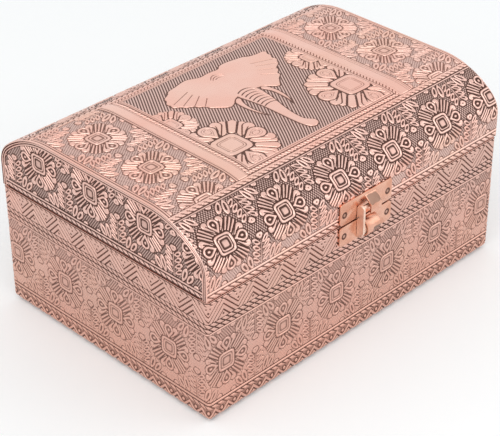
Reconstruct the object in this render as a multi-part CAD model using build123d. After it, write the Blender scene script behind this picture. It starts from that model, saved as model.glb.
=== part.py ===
from build123d import *
import math
import os

# Closed box, outside
length = 203.0
depth = 142.0
base_height = 66.9
rim_gap = 0.4
lid_height = 35.4
vertical_edge_radius = 2.0
bottom_edge_radius = 4.0

# Arch of the lid: a straight wall, a tight shoulder, a long easy curve, then a flat crown
lid_wall_height = 12.9
shoulder_radius = 14.0
shoulder_reach = 36.5
crown_sheet_width = 98.0

# Layers, from the outside in
sheet = 0.7
glue = 0.1
board = 4.0
velvet = 1.0
felt = 1.0
fold_under = 3.0
sheet_seam = 0.3

# Latch: one plate on the lid, one on the base, and a sliding bolt between them
latch_x = 1.4
plate_width = 36.2
plate_thickness = 0.8
lid_plate_height = 11.6
base_plate_height = 10.6
plate_rim_setback = 0.3
plate_corner_radius = 1.8
latch_nail_spacing = 30.2
lid_nail_height = 5.6
base_nail_drop = 5.6

# Keeper: the bent nose on the lid plate
keeper_left = -1.2
keeper_width = 7.4
keeper_reach = 4.2
keeper_top_below_plate_top = 1.6
keeper_slope_height = 3.6
keeper_lip_height = 2.4

# Half-round loop on the base plate
loop_left = -3.4
loop_width = 8.8
loop_radius = 4.8

# Bolt: a side bar, a half-round leg in the loop and a finger in the keeper
bolt_bar_thickness = 1.3
bolt_bar_gap = 1.9
bolt_bar_depth = 4.2
bolt_top_above_finger = 2.2
leg_clearance = 0.3
leg_left_in_loop = 4.0
finger_radius = 1.0
finger_height = 5.6
finger_depth = 1.8
finger_engagement = 1.6
slide_clearance = 0.1
bolt_travel = 4.0

# Hinges on the rear wall
hinge_x = 58.0
hinge_width = 24.0
hinge_leaf_height = 11.0
hinge_leaf = 0.8
barrel_radius = 1.8
pin_radius = 0.95
pin_clearance = 0.05
pin_head = 0.4
moving_gap = 0.3
knuckle_count = 3
hinge_nail_spacing = 14.0
hinge_nail_offset = 7.0
hinge_corner_radius = 1.5

# Nails
nail_shank_radius = 0.75
nail_head_radius = 1.25
nail_head_depth = 0.5
nail_head_recess = 0.15
nail_length = 4.6
nail_fit = 0.05
countersink_radius = 1.5

# Worked out from the values above
half_length = length / 2
half_depth = depth / 2
lid_bottom = base_height + rim_gap
lid_top = lid_bottom + lid_height
lid_wall_top = lid_bottom + lid_wall_height
skin = sheet + glue
wall = skin + board
lined_wall = wall + glue
shoulder_drop = lid_height - lid_wall_height
reach_inside = shoulder_reach - shoulder_radius
crown_radius = (reach_inside**2 + shoulder_drop**2 - shoulder_radius**2) / (2 * (shoulder_drop - shoulder_radius))
crown_flat_half = half_depth - shoulder_reach
change_angle = math.atan2(crown_radius - shoulder_drop, -reach_inside)
front_face = -half_depth
rear_face = half_depth
hinge_axis_y = rear_face + moving_gap + barrel_radius
hinge_axis_z = (base_height + lid_bottom) / 2
base_board_top = base_height - skin
base_floor_top = felt + board
velvet_top = base_floor_top + glue + velvet
overcut = 1.0


def box_between(low, high):
    """A box given by its lowest and highest corners."""
    size = [high[i] - low[i] for i in range(len(low))]
    return Pos(*low) * Box(*size, align=(Align.MIN, Align.MIN, Align.MIN))


def on_circle(center, radius, angle):
    """The point of a circle in the Y-Z section at that angle from +Y."""
    return (center[0] + radius * math.cos(angle), center[1] + radius * math.sin(angle))


def arch_face(inset, low):
    """The lid's cross-section, that far inside its outer skin, from height low up."""
    side = half_depth - inset
    shoulder_center = (-half_depth + shoulder_radius, lid_wall_top)
    crown_center = (-crown_flat_half, lid_top - crown_radius)
    small = shoulder_radius - inset
    large = crown_radius - inset
    low_corner = (-side, low)
    wall_top = (-side, lid_wall_top)
    shoulder_middle = on_circle(shoulder_center, small, (math.pi + change_angle) / 2)
    change = on_circle(shoulder_center, small, change_angle)
    curve_middle = on_circle(crown_center, large, (change_angle + math.pi / 2) / 2)
    crown_start = (-crown_flat_half, lid_top - inset)
    left = [low_corner, wall_top, shoulder_middle, change, curve_middle, crown_start]
    right = [(-y, z) for y, z in left]
    edges = [
        Line(left[0], left[1]),
        ThreePointArc(left[1], left[2], left[3]),
        ThreePointArc(left[3], left[4], left[5]),
        Line(left[5], right[5]),
        ThreePointArc(right[5], right[4], right[3]),
        ThreePointArc(right[3], right[2], right[1]),
        Line(right[1], right[0]),
        Line(right[0], left[0]),
    ]
    return make_face(edges)


def along_x(face, x_start, x_end):
    """A face drawn in the Y-Z section, carried along X between two positions."""
    placed = Plane.YZ.offset(x_start) * face
    return extrude(placed, amount=x_end - x_start)


def arch_solid(inset, low, x_start, x_end):
    """A full piece of the arched section."""
    return along_x(arch_face(inset, low), x_start, x_end)


def arch_band(inset, thickness, low, x_start, x_end):
    """A bent layer of the arch, of that thickness, open underneath."""
    outside = arch_solid(inset, low, x_start, x_end)
    inside = arch_solid(inset + thickness, low - overcut, x_start, x_end)
    return outside - inside


def nail_shape(x, z, facing, grow):
    """One nail driven through a plate on the front or rear wall, or its hole when grown."""
    surface = half_depth + plate_thickness - nail_head_recess
    shank = Cylinder(nail_shank_radius + grow, nail_length + grow, align=(Align.CENTER, Align.CENTER, Align.MAX))
    head_depth = nail_head_depth
    head = Cone(
        nail_shank_radius + grow,
        nail_head_radius,
        head_depth,
        align=(Align.CENTER, Align.CENTER, Align.MAX),
    )
    nail = shank + head
    turned = Rot(X=90) * nail if facing < 0 else Rot(X=-90) * nail
    return Pos(x, facing * surface, z) * turned


def nail_group(places, facing, grow=0.0):
    """All the nails of one plate or pair of leaves."""
    return [nail_shape(x, z, facing, grow) for x, z in places]


def drilled(shape, places, facing):
    """The shape with a snug hole for each nail."""
    for nail in nail_group(places, facing, nail_fit):
        shape = shape - nail
    return shape


def countersunk(shape, places, facing):
    """The shape with a tapered hole for each nail head."""
    for x, z in places:
        taper = Cone(
            nail_shank_radius + nail_fit,
            countersink_radius,
            plate_thickness,
            align=(Align.CENTER, Align.CENTER, Align.MIN),
        )
        turned = Rot(X=90) * taper if facing < 0 else Rot(X=-90) * taper
        shape = shape - Pos(x, facing * half_depth, z) * turned
    return shape


latch_nail_xs = [latch_x - latch_nail_spacing / 2, latch_x + latch_nail_spacing / 2]
lid_latch_places = [(x, lid_bottom + lid_nail_height) for x in latch_nail_xs]
base_latch_places = [(x, base_height - base_nail_drop) for x in latch_nail_xs]
hinge_sides = [-hinge_x, hinge_x]
hinge_nail_xs = [side + half for side in hinge_sides for half in (-hinge_nail_spacing / 2, hinge_nail_spacing / 2)]
lid_hinge_places = [(x, hinge_axis_z + hinge_nail_offset) for x in hinge_nail_xs]
base_hinge_places = [(x, hinge_axis_z - hinge_nail_offset) for x in hinge_nail_xs]


def rounded_block(inset, low, high, bottom_round):
    """The base's outer block, that far inside its skin, with rounded corners and bottom edge."""
    block = box_between(
        (-half_length + inset, -half_depth + inset, low),
        (half_length - inset, half_depth - inset, high),
    )
    block = fillet(block.edges().filter_by(Axis.Z), vertical_edge_radius - inset)
    if bottom_round > 0:
        block = fillet(block.faces().sort_by(Axis.Z)[0].edges(), bottom_round)
    return block


def base_block():
    """What the base's boards are cut from: everything under the embossed sheet."""
    return rounded_block(skin, felt, base_board_top, bottom_edge_radius - skin)


def base_front_board():
    """Front wall of the base."""
    region = box_between(
        (-half_length, -half_depth, 0),
        (half_length, -half_depth + wall, base_height),
    )
    return drilled(base_block() & region, base_latch_places, -1)


def base_rear_board():
    """Rear wall of the base."""
    region = box_between(
        (-half_length, half_depth - wall, 0),
        (half_length, half_depth, base_height),
    )
    return drilled(base_block() & region, base_hinge_places, 1)


def base_end_board(side):
    """Left or right wall of the base, butted between the front and rear walls."""
    x_faces = sorted([side * half_length, side * (half_length - wall)])
    region = box_between(
        (x_faces[0], -half_depth + wall, 0),
        (x_faces[1], half_depth - wall, base_height),
    )
    return base_block() & region


def base_floor_board():
    """Floor panel, set between the four walls."""
    return box_between(
        (-half_length + wall, -half_depth + wall, felt),
        (half_length - wall, half_depth - wall, base_floor_top),
    )


def base_sheet():
    """Embossed sheet wrapped round the four walls, turned over the rim and under the bottom."""
    outside = rounded_block(0, felt - sheet, base_height, bottom_edge_radius)
    inside = rounded_block(sheet, felt, base_height - sheet, bottom_edge_radius - sheet)
    rim_hole = box_between(
        (-half_length + wall, -half_depth + wall, 0),
        (half_length - wall, half_depth - wall, base_height + overcut),
    )
    bottom_inset = bottom_edge_radius + fold_under
    bottom_hole = box_between(
        (-half_length + bottom_inset, -half_depth + bottom_inset, -overcut),
        (half_length - bottom_inset, half_depth - bottom_inset, base_height),
    )
    seam = box_between(
        (-sheet_seam / 2, half_depth - bottom_inset - overcut, -overcut),
        (sheet_seam / 2, half_depth + overcut, base_height + overcut),
    )
    shell = outside - inside - rim_hole - bottom_hole - seam
    shell = drilled(shell, base_latch_places, -1)
    return drilled(shell, base_hinge_places, 1)


def underside_felt():
    """Felt glued under the base, inside the turned-under edge of the sheet."""
    inset = bottom_edge_radius + fold_under
    return box_between(
        (-half_length + inset, -half_depth + inset, 0),
        (half_length - inset, half_depth - inset, felt),
    )


def floor_lining():
    """Velvet on the floor of the compartment."""
    return box_between(
        (-half_length + lined_wall, -half_depth + lined_wall, base_floor_top + glue),
        (half_length - lined_wall, half_depth - lined_wall, velvet_top),
    )


def long_lining(side):
    """Velvet on the inside of the front or rear wall."""
    y_faces = sorted([side * (half_depth - lined_wall), side * (half_depth - lined_wall - velvet)])
    return box_between(
        (-half_length + lined_wall, y_faces[0], velvet_top),
        (half_length - lined_wall, y_faces[1], base_board_top),
    )


def end_lining(side):
    """Velvet on the inside of the left or right wall, between the long linings."""
    x_faces = sorted([side * (half_length - lined_wall), side * (half_length - lined_wall - velvet)])
    inside_y = half_depth - lined_wall - velvet
    return box_between((x_faces[0], -inside_y, velvet_top), (x_faces[1], inside_y, base_board_top))


def lid_rail(side):
    """Straight front or rear wall of the lid."""
    y_faces = sorted([side * (half_depth - skin), side * (half_depth - wall)])
    rail = box_between(
        (-half_length + skin, y_faces[0], lid_bottom + skin),
        (half_length - skin, y_faces[1], lid_wall_top),
    )
    places = lid_latch_places if side < 0 else lid_hinge_places
    return drilled(rail, places, side)


def lid_top_board():
    """Thin board bent over the arch, standing on the two rails."""
    bent = arch_band(skin, board, lid_bottom, -half_length + skin, half_length - skin)
    above_rails = box_between(
        (-half_length, -half_depth, lid_wall_top),
        (half_length, half_depth, lid_top),
    )
    return bent & above_rails


def lid_end_board(side):
    """Arched end of the lid, inside the rails and the bent board."""
    x_faces = sorted([side * (half_length - skin), side * (half_length - wall)])
    return arch_solid(lined_wall, lid_bottom + skin, x_faces[0], x_faces[1])


def lid_top_sheets():
    """The embossed strips over the arch as one bent layer, before they are parted."""
    return arch_band(0, sheet, lid_bottom, -half_length, half_length)


def lid_crown_sheet():
    """Embossed sheet over the crown and the long curves."""
    half = crown_sheet_width / 2
    region = box_between((-half_length, -half, lid_bottom), (half_length, half, lid_top))
    return lid_top_sheets() & region


def lid_band_sheet(side):
    """Embossed strip over the front or rear wall and shoulder, turned under the rim."""
    y_edges = sorted([side * crown_sheet_width / 2, side * half_depth])
    region = box_between((-half_length, y_edges[0], lid_bottom), (half_length, y_edges[1], lid_top))
    strip = lid_top_sheets() & region
    y_fold = sorted([side * half_depth, side * (half_depth - wall)])
    fold = box_between(
        (-half_length + skin, y_fold[0], lid_bottom),
        (half_length - skin, y_fold[1], lid_bottom + sheet),
    )
    places = lid_latch_places if side < 0 else lid_hinge_places
    return drilled(strip + fold, places, side)


def lid_end_sheet(side):
    """Embossed sheet on the left or right end of the lid, turned under the rim."""
    x_faces = sorted([side * half_length, side * (half_length - sheet)])
    face = arch_solid(skin, lid_bottom, x_faces[0], x_faces[1])
    band_fold = box_between(
        (-half_length + skin, -half_depth, lid_bottom),
        (half_length - skin, half_depth, lid_bottom + sheet),
    )
    x_fold = sorted([side * half_length, side * (half_length - wall)])
    fold = box_between(
        (x_fold[0], -half_depth + lined_wall, lid_bottom),
        (x_fold[1], half_depth - lined_wall, lid_bottom + sheet),
    )
    return face - band_fold + fold


def lid_top_lining():
    """Velvet on the inside of the arch and the two rails."""
    reach = half_length - lined_wall
    return arch_band(lined_wall, velvet, lid_bottom + skin, -reach, reach)


def lid_end_lining(side):
    """Velvet on the inside of the left or right end of the lid."""
    x_faces = sorted([side * (half_length - lined_wall), side * (half_length - lined_wall - velvet)])
    return arch_solid(lined_wall + velvet + glue, lid_bottom + skin, x_faces[0], x_faces[1])


def plate_blank(low, high):
    """One latch plate, flat on the front wall, with rounded outer corners."""
    plate = box_between(
        (latch_x - plate_width / 2, front_face - plate_thickness, low),
        (latch_x + plate_width / 2, front_face, high),
    )
    return fillet(plate.edges().filter_by(Axis.Y), plate_corner_radius)


def bent_strip(points, thickness, x_start, width):
    """A strip of sheet metal that follows points in the Y-Z section."""
    path = Polyline(*points)
    strip = make_face(offset(path, amount=thickness / 2, side=Side.BOTH, kind=Kind.INTERSECTION).edges())
    return along_x(strip, x_start, x_start + width)


lid_plate_low = lid_bottom + plate_rim_setback
lid_plate_high = lid_plate_low + lid_plate_height
base_plate_high = base_height - plate_rim_setback
base_plate_low = base_plate_high - base_plate_height
plate_face = front_face - plate_thickness
keeper_x = latch_x + keeper_left
loop_x = latch_x + loop_left
loop_z = (base_plate_low + base_plate_high) / 2
finger_z = lid_bottom + finger_height
finger_y = plate_face - finger_depth
leg_radius = loop_radius - plate_thickness - leg_clearance
bar_right = loop_x - bolt_bar_gap
bar_left = bar_right - bolt_bar_thickness
bar_back = plate_face - slide_clearance
bar_front = bar_back - bolt_bar_depth


def keeper_nose():
    """The nose of the lid plate: out and down from its top, with a free lip below."""
    middle = plate_thickness / 2
    top = lid_plate_high - keeper_top_below_plate_top
    knee = top - keeper_slope_height
    reach = front_face - keeper_reach - plate_thickness + middle
    root = front_face - middle
    points = [(root, top), (reach, knee), (reach, lid_plate_low + keeper_lip_height)]
    return bent_strip(points, plate_thickness, keeper_x, keeper_width)


def latch_lid_plate():
    """Plate nailed to the lid, with the keeper nose."""
    plate = plate_blank(lid_plate_low, lid_plate_high)
    return countersunk(plate, lid_latch_places, -1) + keeper_nose()


def half_round(radius, y_flat, z_center, x_start, x_end):
    """A half-round bar along X whose flat side faces the box."""
    rod = Pos(x_start, y_flat, z_center) * Rot(Y=90) * Cylinder(
        radius, x_end - x_start, align=(Align.CENTER, Align.CENTER, Align.MIN)
    )
    front_half = box_between(
        (x_start, y_flat - radius, z_center - radius),
        (x_end, y_flat, z_center + radius),
    )
    return rod & front_half


def latch_base_plate():
    """Plate nailed to the base, with the half-round loop that carries the bolt."""
    plate = countersunk(plate_blank(base_plate_low, base_plate_high), base_latch_places, -1)
    outside = half_round(loop_radius, plate_face, loop_z, loop_x, loop_x + loop_width)
    hollow = half_round(
        loop_radius - plate_thickness,
        plate_face,
        loop_z,
        loop_x - overcut,
        loop_x + loop_width + overcut,
    )
    return plate + (outside - hollow)


def latch_bolt():
    """Sliding bolt: a side bar with a half-round leg in the loop and a finger in the keeper."""
    bar_top = finger_z + bolt_top_above_finger
    bar = box_between((bar_left, bar_front, loop_z), (bar_right, bar_back, bar_top))
    top_edge = bar.faces().sort_by(Axis.Z)[-1].edges().filter_by(Axis.X)
    bar = fillet(top_edge, bolt_bar_depth / 2 - slide_clearance)
    foot = half_round(bolt_bar_depth, bar_back, loop_z, bar_left, bar_right)
    leg = half_round(leg_radius, bar_back, loop_z, bar_right, loop_x + bolt_travel + leg_left_in_loop)
    finger = Pos(bar_right, finger_y, finger_z) * Rot(Y=90) * Cylinder(
        finger_radius,
        keeper_x + finger_engagement - bar_right,
        align=(Align.CENTER, Align.CENTER, Align.MIN),
    )
    return bar + foot + leg + finger


def knuckle_span(center_x, index):
    """Start and end along X of one knuckle of a hinge."""
    pitch = hinge_width / knuckle_count
    start = center_x - hinge_width / 2 + index * pitch
    trim = moving_gap / 2
    low = start if index == 0 else start + trim
    high = start + pitch if index == knuckle_count - 1 else start + pitch - trim
    return low, high


def hinge_leaf_shape(center_x, toward, knuckles):
    """One leaf with its knuckles; toward is 1 for the lid's leaf and -1 for the base's."""
    far = hinge_axis_z + toward * hinge_leaf_height
    z_faces = sorted([hinge_axis_z + toward * (barrel_radius + moving_gap), far])
    leaf = box_between(
        (center_x - hinge_width / 2, rear_face, z_faces[0]),
        (center_x + hinge_width / 2, rear_face + hinge_leaf, z_faces[1]),
    )
    far_face = leaf.faces().sort_by(Axis.Z)[-1 if toward > 0 else 0]
    leaf = fillet(far_face.edges().filter_by(Axis.Y), hinge_corner_radius)
    for index in knuckles:
        low, high = knuckle_span(center_x, index)
        barrel = Pos(low, hinge_axis_y, hinge_axis_z) * Rot(Y=90) * Cylinder(
            barrel_radius, high - low, align=(Align.CENTER, Align.CENTER, Align.MIN)
        )
        z_neck = sorted([hinge_axis_z, hinge_axis_z + toward * (barrel_radius + moving_gap)])
        neck = box_between(
            (low, rear_face + moving_gap, z_neck[0]),
            (high, rear_face + hinge_leaf, z_neck[1]),
        )
        leaf = leaf + barrel + neck
    bore = Pos(center_x, hinge_axis_y, hinge_axis_z) * Rot(Y=90) * Cylinder(
        pin_radius + pin_clearance, hinge_width + overcut
    )
    return leaf - bore


def hinge_lid_leaf(center_x):
    """Leaf nailed to the lid, with the middle knuckle."""
    knuckles = range(1, knuckle_count, 2)
    return countersunk(hinge_leaf_shape(center_x, 1, knuckles), lid_hinge_places, 1)


def hinge_base_leaf(center_x):
    """Leaf nailed to the base, with the outer knuckles."""
    knuckles = range(0, knuckle_count, 2)
    return countersunk(hinge_leaf_shape(center_x, -1, knuckles), base_hinge_places, 1)


def hinge_pin(center_x):
    """Pin through the knuckles, with a flattened head at each end."""
    across = Pos(center_x, hinge_axis_y, hinge_axis_z) * Rot(Y=90)
    pin = across * Cylinder(pin_radius, hinge_width)
    for end in (-1, 1):
        head_x = center_x + end * (hinge_width + pin_head) / 2
        pin = pin + Pos(head_x, hinge_axis_y, hinge_axis_z) * Rot(Y=90) * Cylinder(
            (pin_radius + barrel_radius) / 2, pin_head
        )
    return pin


nodes = {
    "base_front_board": base_front_board(),
    "base_rear_board": base_rear_board(),
    "base_left_board": base_end_board(-1),
    "base_right_board": base_end_board(1),
    "base_floor_board": base_floor_board(),
    "base_embossed_sheet": base_sheet(),
    "underside_felt": underside_felt(),
    "base_floor_lining": floor_lining(),
    "base_front_lining": long_lining(-1),
    "base_rear_lining": long_lining(1),
    "base_left_lining": end_lining(-1),
    "base_right_lining": end_lining(1),
    "lid_front_rail": lid_rail(-1),
    "lid_rear_rail": lid_rail(1),
    "lid_left_end_board": lid_end_board(-1),
    "lid_right_end_board": lid_end_board(1),
    "lid_top_board": lid_top_board(),
    "lid_crown_sheet": lid_crown_sheet(),
    "lid_front_sheet": lid_band_sheet(-1),
    "lid_rear_sheet": lid_band_sheet(1),
    "lid_left_sheet": lid_end_sheet(-1),
    "lid_right_sheet": lid_end_sheet(1),
    "lid_top_lining": lid_top_lining(),
    "lid_left_lining": lid_end_lining(-1),
    "lid_right_lining": lid_end_lining(1),
    "latch_lid_plate": latch_lid_plate(),
    "latch_base_plate": latch_base_plate(),
    "latch_bolt": latch_bolt(),
    "latch_lid_nails": Compound(nail_group(lid_latch_places, -1)),
    "latch_base_nails": Compound(nail_group(base_latch_places, -1)),
    "hinge_lid_nails": Compound(nail_group(lid_hinge_places, 1)),
    "hinge_base_nails": Compound(nail_group(base_hinge_places, 1)),
}
for name, center_x in (("left", -hinge_x), ("right", hinge_x)):
    nodes["hinge_" + name + "_lid_leaf"] = hinge_lid_leaf(center_x)
    nodes["hinge_" + name + "_base_leaf"] = hinge_base_leaf(center_x)
    nodes["hinge_" + name + "_pin"] = hinge_pin(center_x)

os.makedirs("parts", exist_ok=True)
for node_name, shape in nodes.items():
    export_step(shape, "parts/" + node_name + ".step")
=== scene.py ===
"""Looks of an arched keepsake box: boards in embossed rose-coloured sheet, latch, hinges, velvet.

Patterns are worked out in millimetres and become metres where a mesh is made. A relief is a height
from 0, the bottom of its hollows, to 1, its polished top, on a grid of points (u along the piece,
v up it, seen from outside).
"""

import logging
import math
from dataclasses import dataclass, field
from enum import Enum
from functools import cached_property
from typing import Callable, Sequence

import bmesh
import bpy
import numpy as np
from mathutils import Matrix, Vector


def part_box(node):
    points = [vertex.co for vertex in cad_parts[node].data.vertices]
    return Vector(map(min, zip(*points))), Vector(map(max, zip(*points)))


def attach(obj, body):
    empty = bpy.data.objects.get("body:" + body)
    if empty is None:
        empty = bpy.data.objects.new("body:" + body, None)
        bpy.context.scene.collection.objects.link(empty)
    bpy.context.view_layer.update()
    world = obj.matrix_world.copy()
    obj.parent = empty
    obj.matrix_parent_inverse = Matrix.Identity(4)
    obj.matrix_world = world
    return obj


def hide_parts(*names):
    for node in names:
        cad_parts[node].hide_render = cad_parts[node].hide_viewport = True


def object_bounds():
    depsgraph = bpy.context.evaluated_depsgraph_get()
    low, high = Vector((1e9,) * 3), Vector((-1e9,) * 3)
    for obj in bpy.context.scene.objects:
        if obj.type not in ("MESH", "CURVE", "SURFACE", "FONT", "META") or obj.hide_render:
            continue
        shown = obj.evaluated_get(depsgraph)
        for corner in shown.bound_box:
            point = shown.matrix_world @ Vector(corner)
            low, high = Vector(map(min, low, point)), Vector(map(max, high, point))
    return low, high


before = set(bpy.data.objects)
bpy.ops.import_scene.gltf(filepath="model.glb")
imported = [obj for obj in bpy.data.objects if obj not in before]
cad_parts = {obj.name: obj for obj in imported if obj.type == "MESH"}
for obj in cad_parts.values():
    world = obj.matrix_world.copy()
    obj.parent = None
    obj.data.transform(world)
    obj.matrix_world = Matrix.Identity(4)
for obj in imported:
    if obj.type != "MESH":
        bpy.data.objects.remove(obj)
cad_low, cad_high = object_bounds()

logging.basicConfig(level=logging.INFO, format="%(message)s")
log = logging.getLogger("keepsake box")

Grid = np.ndarray
Motif = tuple[Grid, Grid]
Point = tuple[float, float]
Color = tuple[float, float, float, float]
Object = bpy.types.Object
Mesh = bpy.types.Mesh
Material = bpy.types.Material
MM = 0.001
TURN = 2 * math.pi
QUARTER = math.pi / 2

# The embossed sheet, in millimetres
GRID_PITCH = 0.36
RELIEF_DEPTH = 0.55
SHEET = 0.7
RIM_FOLD = 4.8
RIM_ROUND = 0.5
WALL_PITCH = 36.6
LID_PITCH = 36.9

# Levels of relief, and what its material reads
WELL = 0.05
GROUND = 0.36
SMOOTH = 0.92
FIELDS = ("relief", "net", "first_phase", "second_phase", "stripe", "tarnish")


class Body(Enum):
    """The parts of the box that move as one."""

    BASE = "base"
    LID = "lid"
    BOLT = "bolt"


class Side(Enum):
    """The four upright sides, as (x direction, y direction) of the outward normal."""

    FRONT = (0, -1)
    LEFT = (-1, 0)
    REAR = (0, 1)
    RIGHT = (1, 0)

    @property
    def key(self) -> str:
        """Its name as pieces and solids spell it."""
        return self.name.lower()


# Shaping functions


def rise(low: float | Grid, high: float | Grid, value: Grid) -> Grid:
    """Smooth step: 0 up to low, 1 from high on, 3t^2 - 2t^3 between."""
    t = np.clip((value - low) / (high - low), 0.0, 1.0)
    return t * t * (3.0 - 2.0 * t)


def ridge(distance: Grid, half: float, soft: float = 0.3) -> Grid:
    """A raised line: 1 within half of the line, falling to 0 over soft."""
    return 1.0 - rise(half - soft / 2, half + soft / 2, np.abs(distance))


def folded(value: Grid, pitch: float) -> Grid:
    """Distance from the nearest multiple of pitch, with its sign."""
    return (value + pitch / 2) % pitch - pitch / 2


def wave(value: Grid, period: float) -> Grid:
    """Triangle wave: 1 at multiples of the period, -1 half way between."""
    return 1.0 - 4.0 * np.abs(folded(value, period)) / period


def rolled(distance: Grid, edge: float) -> Grid:
    """Height of a rolled edge: a quarter circle from 0 at the border to 1 in from it by edge."""
    return np.sqrt(np.clip(1.0 - (1.0 - np.clip(distance / edge, 0.0, 1.0)) ** 2, 0.0, 1.0))


def from_line(x: Grid, y: Grid, start: Point, end: Point) -> Grid:
    """Distance from a line between two points: to the perpendicular's foot, kept within them."""
    dx, dy = end[0] - start[0], end[1] - start[1]
    t = np.clip(((x - start[0]) * dx + (y - start[1]) * dy) / (dx * dx + dy * dy), 0.0, 1.0)
    return np.hypot(x - start[0] - t * dx, y - start[1] - t * dy)


def raised(
    inside: Grid, level: float | Grid = 1.0, edge: float = 0.35, outline: float = 0.5
) -> Motif:
    """A motif with soft edges and a dark outline round it.

    Args:
        inside: Distance inside the motif's edge, negative outside.
        level: Its height.
        edge: How far in its edge is rounded.
        outline: How far out the ground is sunk round it.

    Returns:
        Its height, and how much of the ground it covers.
    """
    return level * rise(-0.05, edge, inside), rise(-outline, -outline / 3, inside)


def cut(motif: Motif, mask: Grid, depth: float = 0.85) -> Motif:
    """A motif cut down by a share of its height where the mask is 1."""
    return motif[0] * (1.0 - depth * mask), motif[1]


def stacked(*motifs: Motif) -> Motif:
    """Lays motifs one over the next: top (1 - c) + next top c, where the next covers c.

    Args:
        motifs: The motifs, lowest first.

    Returns:
        All of them as one motif.
    """
    top, cover = motifs[0]
    for next_top, next_cover in motifs[1:]:
        top = top * (1.0 - next_cover) + next_top * next_cover
        cover = np.maximum(cover, next_cover)
    return top, cover


def highest(*grids: Grid) -> Grid:
    """The highest of several grids at each point."""
    return np.maximum.reduce(grids)


def lowest(*grids: Grid) -> Grid:
    """The lowest of several grids at each point."""
    return np.minimum.reduce(grids)


@dataclass(frozen=True)
class Outline:
    """A smooth closed outline through a few points, as a Catmull-Rom curve."""

    points: tuple[Point, ...]
    steps: int = 5

    def curve(self) -> Grid:
        """Blends the four points about each span with Catmull-Rom's cubic weights.

        Returns:
            The curve as a closed run of points.
        """
        b = np.array(self.points)
        a, c, d = (np.roll(b, shift, axis=0)[:, None, :] for shift in (1, -1, -2))
        b = b[:, None, :]
        t = np.linspace(0.0, 1.0, self.steps, endpoint=False)[None, :, None]
        square, cube = 2 * a - 5 * b + 4 * c - d, 3 * b - a - 3 * c + d
        return ((2 * b + (c - a) * t + square * t**2 + cube * t**3) / 2).reshape(-1, 2)

    def inside(self, x: Grid, y: Grid) -> Grid:
        """Finds the nearest edge; a point is inside if a ray from it crosses an odd number of them.

        Args:
            x: Distance across.
            y: Distance up.

        Returns:
            Distance inside the outline, negative outside.
        """
        line = self.curve()
        nearest = np.full(x.shape, np.inf)
        odd = np.zeros(x.shape, bool)
        for start, end in zip(line, np.roll(line, -1, axis=0)):
            nearest = np.minimum(nearest, from_line(x, y, start, end))
            (x0, y0), (x1, y1) = start, end
            if y0 != y1:
                odd ^= ((y0 > y) != (y1 > y)) & (x < (y - y0) * (x1 - x0) / (y1 - y0) + x0)
        return np.where(odd, 1.0, -1.0) * nearest


# Ornament of the embossed sheet


@dataclass
class Relief:
    """The worked surface of a sheet, one value for each point of its grid.

    Height is the relief itself. Net is how much of a fine crossed or hatched ground shows; the
    material draws that ground from two phases, as
    sin(first) * (stripe + (1 - stripe) * sin(second)). Tarnish is how dark hollows are.
    """

    height: Grid
    net: Grid
    phases: tuple[Grid, Grid]
    stripe: float = 0.0
    tarnish: Grid | float = 0.4

    @classmethod
    def plain(cls, x: Grid, y: Grid, level: float = SMOOTH) -> "Relief":
        """A smooth sheet."""
        none = np.zeros(x.shape)
        return cls(none + level, none, (x, y), 0.0, none + 0.3)

    @classmethod
    def worked(cls, x: Grid, y: Grid, mask: Grid, low: float = WELL, high: float = 1.0) -> "Relief":
        """A surface that goes from a low to a high level as the mask goes from 0 to 1."""
        return cls(low + (high - low) * mask, np.zeros(x.shape), (x, y))

    @classmethod
    def netted(
        cls, x: Grid, y: Grid, level: float | Grid = GROUND, net: float | Grid = 1.0
    ) -> "Relief":
        """A ground of fine dots in staggered rows: a wave along times a wave across."""
        none = np.zeros(x.shape)
        return cls(none + level, none + net, (TURN * 0.72 * x, TURN * 0.49 * y), 0.0, none + 0.4)

    @classmethod
    def hatched(cls, x: Grid, y: Grid, level: float = 0.42) -> "Relief":
        """A ground of slanted ridges 1.36 mm apart, a little broken along their length."""
        none = np.zeros(x.shape)
        phases = TURN * (0.62 * x - 0.39 * y), TURN * (0.24 * x - 0.78 * y)
        return cls(none + level, none + 1.2, phases, 0.75, none + 0.75)

    def lay(self, *motifs: Motif) -> "Relief":
        """Lays motifs over what is there: height (1 - cover) + top cover.

        Args:
            motifs: The motifs, lowest first.

        Returns:
            This relief.
        """
        for top, cover in motifs:
            self.height = self.height * (1.0 - cover) + top * cover
            self.net = self.net * (1.0 - cover)
        return self

    def put(self, where: Grid, other: "Relief") -> "Relief":
        """Replaces the surface where asked, but not how dark it has gone."""
        self.height = np.where(where, other.height, self.height)
        self.net = np.where(where, other.net, self.net)
        return self

    def fade(self, share: Grid | float, level: float = SMOOTH) -> "Relief":
        """Fades to a smooth surface where the share is 0."""
        self.height = level + (self.height - level) * share
        self.net = self.net * share
        return self

    def fields(self) -> dict[str, Grid]:
        """The values that the material reads, in the order of FIELDS."""
        values = self.height, self.net, *self.phases, self.stripe, self.tarnish
        shape = self.height.shape
        return {name: np.broadcast_to(value, shape) for name, value in zip(FIELDS, values)}


Worked = Callable[[Grid, Grid], Relief]


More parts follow.
